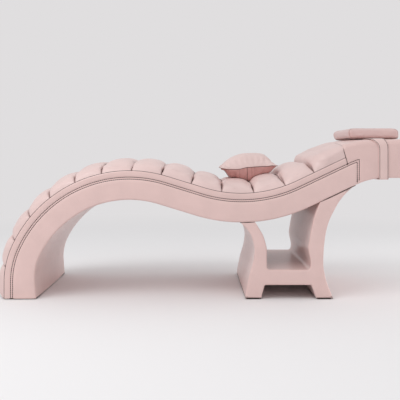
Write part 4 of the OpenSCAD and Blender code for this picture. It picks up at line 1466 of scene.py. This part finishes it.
def build_stitches():
    for word, side in SIDES:
        runs = []
        for offset in STITCH_ROWS:
            path = [(x, side * (HALF_W - 0.6), z) for x, z in seam_path(offset)]
            runs += stitch_runs(path, (0, -side, 0))
        tube_piece("double_stitching_" + word, runs, THREAD)
        # A dark cord in the crease of the top seam: partly the seam, partly painted shade of the crease
        path = [off(s, -0.2) for s in np.linspace(3.0, LAST_GROOVE_S + lead_reach(0.0), 420)]
        cord = [(x, side * (HALF_W - 0.3), z) for x, z in path]
        tube_piece("seam_shade_cord_" + word, [(cord, SEAM_SHADE_CORD_R, THREAD_SIDES)], THREAD)


# Thin dark lines where the leg and the feet meet their glides: painted contact shadow along the lower edges
def build_contact_shadow_lines():
    z = FLOOR_Z + 1.3
    x0, x1 = off(0.0, 0.0)[0], off(0.0, -thickness(0.0))[0]
    runs = []

    def bar(a, b, step, radius=CONTACT_SHADOW_R):
        runs.append((resample([(*a, z), (*b, z)], step), radius, THREAD_SIDES))

    for side in (-1, 1):
        y = side * (HALF_W - 0.4)
        line = [(x0 + 1.0, y, z), (x1 - 6.0, y, z)]
        line += [(x1 - 2.0, y - side * 2.0, z), (x1 - 0.6, y - side * 6.0, z)]
        runs.append((resample(line, 8.0), CONTACT_SHADOW_R, THREAD_SIDES))
    bar((x1 - 0.4, -(HALF_W - CONTACT_SHADOW_SHORT)), (x1 - 0.4, HALF_W - CONTACT_SHADOW_SHORT), 12.0)
    for a, b in ((base_x(p), base_x(q)) for p, q in FEET):
        for side in (-1, 1):
            bar((a + 1.5, side * (BASE_HALF - 0.8)), (b - 1.5, side * (BASE_HALF - 0.8)), 8.0)
        for x in (a + 0.5, b - 0.5):
            bar((x, -(BASE_HALF - CONTACT_SHADOW_SHORT)), (x, BASE_HALF - CONTACT_SHADOW_SHORT), 12.0, FOOT_END_CONTACT_SHADOW_R)
    tube_piece("lower_edge_contact_shadows", runs, THREAD)


# Nodes that keep their shape


def speckled_material(name, dark, light, rough, scale, detail_roughness):
    material, tree, shader, coords = node_material(name)
    spots = speckle(tree, coords, scale, 3.0, detail_roughness)
    feed(tree, shader, {"Base Color": mixed(tree, spots, linear(dark), linear(light)), "Roughness": rough})
    return material


def plain_materials():
    ply, tree, shader, coords = node_material("plywood")
    layers = add_node(tree, "Mapping", {0: coords, "Scale": (1.0, 1.0, 14.0)}).outputs[0]
    grain = ramp(tree, speckle(tree, layers, 14.0, 6.0, 0.6), 0.0, 1.0)
    colour = mixed(tree, grain, linear((190, 152, 104)), linear((222, 190, 142)))
    feed(tree, shader, {"Base Color": colour, "Roughness": 0.6})
    foam = speckled_material("foam", (226, 218, 190), (246, 240, 220), 0.95, 420.0, 0.7)
    steel, tree, shader, coords = node_material("zinc_steel")
    haze = ramp(tree, speckle(tree, coords, 120.0, 3.0), 0.25, 0.45)
    feed(tree, shader, {"Base Color": linear((178, 180, 184)), "Roughness": haze, "Metallic": 1.0})
    rubber = speckled_material("rubber", (40, 36, 36), (58, 52, 52), 0.75, 200.0, 0.5)
    return {"plywood": ply, "foam": foam, "steel": steel, "rubber": rubber, "hook_and_loop": foam,
            "leather": SIDE_LEATHER, "quilted_leather": PAD_LEATHER, "cushion_leather": CUSHION_LEATHER}


def dress_nodes():
    made = plain_materials()
    slots = {s["node"]: s["material_slot"] for s in frame["record"]["subparts"]}
    for name, obj in frame["nodes"].items():
        obj.data.materials.clear()
        obj.data.materials.append(made[slots[name]])


# Room, light and camera, in metres

BACKGROUND = (224, 222, 223)
FLOOR_COLOUR = (234, 232, 233)
# The floor fades into the plain background between these distances
FADE_FROM = 1.7
FADE_TO = 4.2
SKY_COLOUR = (0.985, 0.995, 1.0, 1)
SKY_STRENGTH = 0.77
CAMERA_AT = (-0.0255, -3.293, 0.65)
CAMERA_LENS = 59.36
CAMERA_SHIFT = (0.0075, -0.1125)


# What the camera sees directly, in gloss or through glass
def seen_directly(tree):
    path = add_node(tree, "LightPath", {})
    total = path.outputs["Is Camera Ray"]
    for name in ("Is Glossy Ray", "Is Transmission Ray"):
        total = add_node(tree, "Math", {0: total, 1: path.outputs[name]}, operation="MAXIMUM").outputs[0]
    return total


def lay_floor():
    material, tree, shader, coords = node_material("studio_floor")
    feed(tree, shader, {"Base Color": linear(FLOOR_COLOUR), "Roughness": 0.9})
    distance = add_node(tree, "VectorMath", {0: coords}, operation="LENGTH").outputs["Value"]
    reach = {0: distance, 1: FADE_FROM, 2: FADE_TO}
    fade = add_node(tree, "MapRange", reach, interpolation_type="SMOOTHSTEP").outputs[0]
    share = add_node(tree, "Math", {0: fade, 1: seen_directly(tree)}, operation="MULTIPLY").outputs[0]
    plain = add_node(tree, "Emission", {0: linear(BACKGROUND)}).outputs[0]
    mix = add_node(tree, "MixShader", {0: share, 1: shader.outputs[0], 2: plain})
    out = [node for node in tree.nodes if node.type == "OUTPUT_MATERIAL"][0]
    tree.links.new(mix.outputs[0], out.inputs[0])
    mesh = bpy.data.meshes.new("studio_floor")
    steps = [-40.0, -8.0, 0.0, 8.0, 40.0]
    mesh.from_pydata([(x, y, 0.0) for y in steps for x in steps], [], grid_faces(5, 5))
    mesh.materials.append(material)
    add_object("studio_floor", mesh)


def area_light(name, place_at, target, size, power):
    data = bpy.data.lights.new(name, "AREA")
    data.shape = "RECTANGLE"
    data.size, data.size_y = size
    data.energy = power
    obj = add_object(name, data)
    obj.location = place_at
    obj.rotation_euler = (Vector(target) - Vector(place_at)).to_track_quat("-Z", "Y").to_euler()


def light_room():
    world = bpy.data.worlds.new("studio_world")
    world.use_nodes = True
    tree = world.node_tree
    light = tree.nodes["Background"]
    feed(tree, light, {0: SKY_COLOUR, 1: SKY_STRENGTH})
    plain = add_node(tree, "Background", {0: linear(BACKGROUND)})
    shares = {0: seen_directly(tree), 1: light.outputs[0], 2: plain.outputs[0]}
    tree.links.new(add_node(tree, "MixShader", shares).outputs[0], tree.nodes["World Output"].inputs[0])
    bpy.context.scene.world = world
    area_light("key_light", (-1.8, -1.7, 3.0), (-0.2, 0.1, 0.3), (2.4, 1.3), 45.0)
    area_light("fill_light", (3.2, 0.2, 1.0), (-0.4, 0.0, 0.3), (1.8, 1.6), 20.0)


def set_camera():
    data = bpy.data.cameras.new("camera")
    data.sensor_width = 36.0
    data.lens = CAMERA_LENS
    data.shift_x, data.shift_y = CAMERA_SHIFT
    data.clip_end = 60.0
    obj = add_object("camera", data)
    obj.location = CAMERA_AT
    obj.rotation_euler = (math.pi / 2, 0, 0)
    bpy.context.scene.camera = obj


set_camera()
dress_nodes()
channels = build_channels()
build_sides()
build_head()
build_base()
build_strap()
build_pillow()
build_cushion(channels)
build_stitches()
build_contact_shadow_lines()
lay_floor()
light_room()
bpy.context.scene.view_settings.view_transform = "Standard"
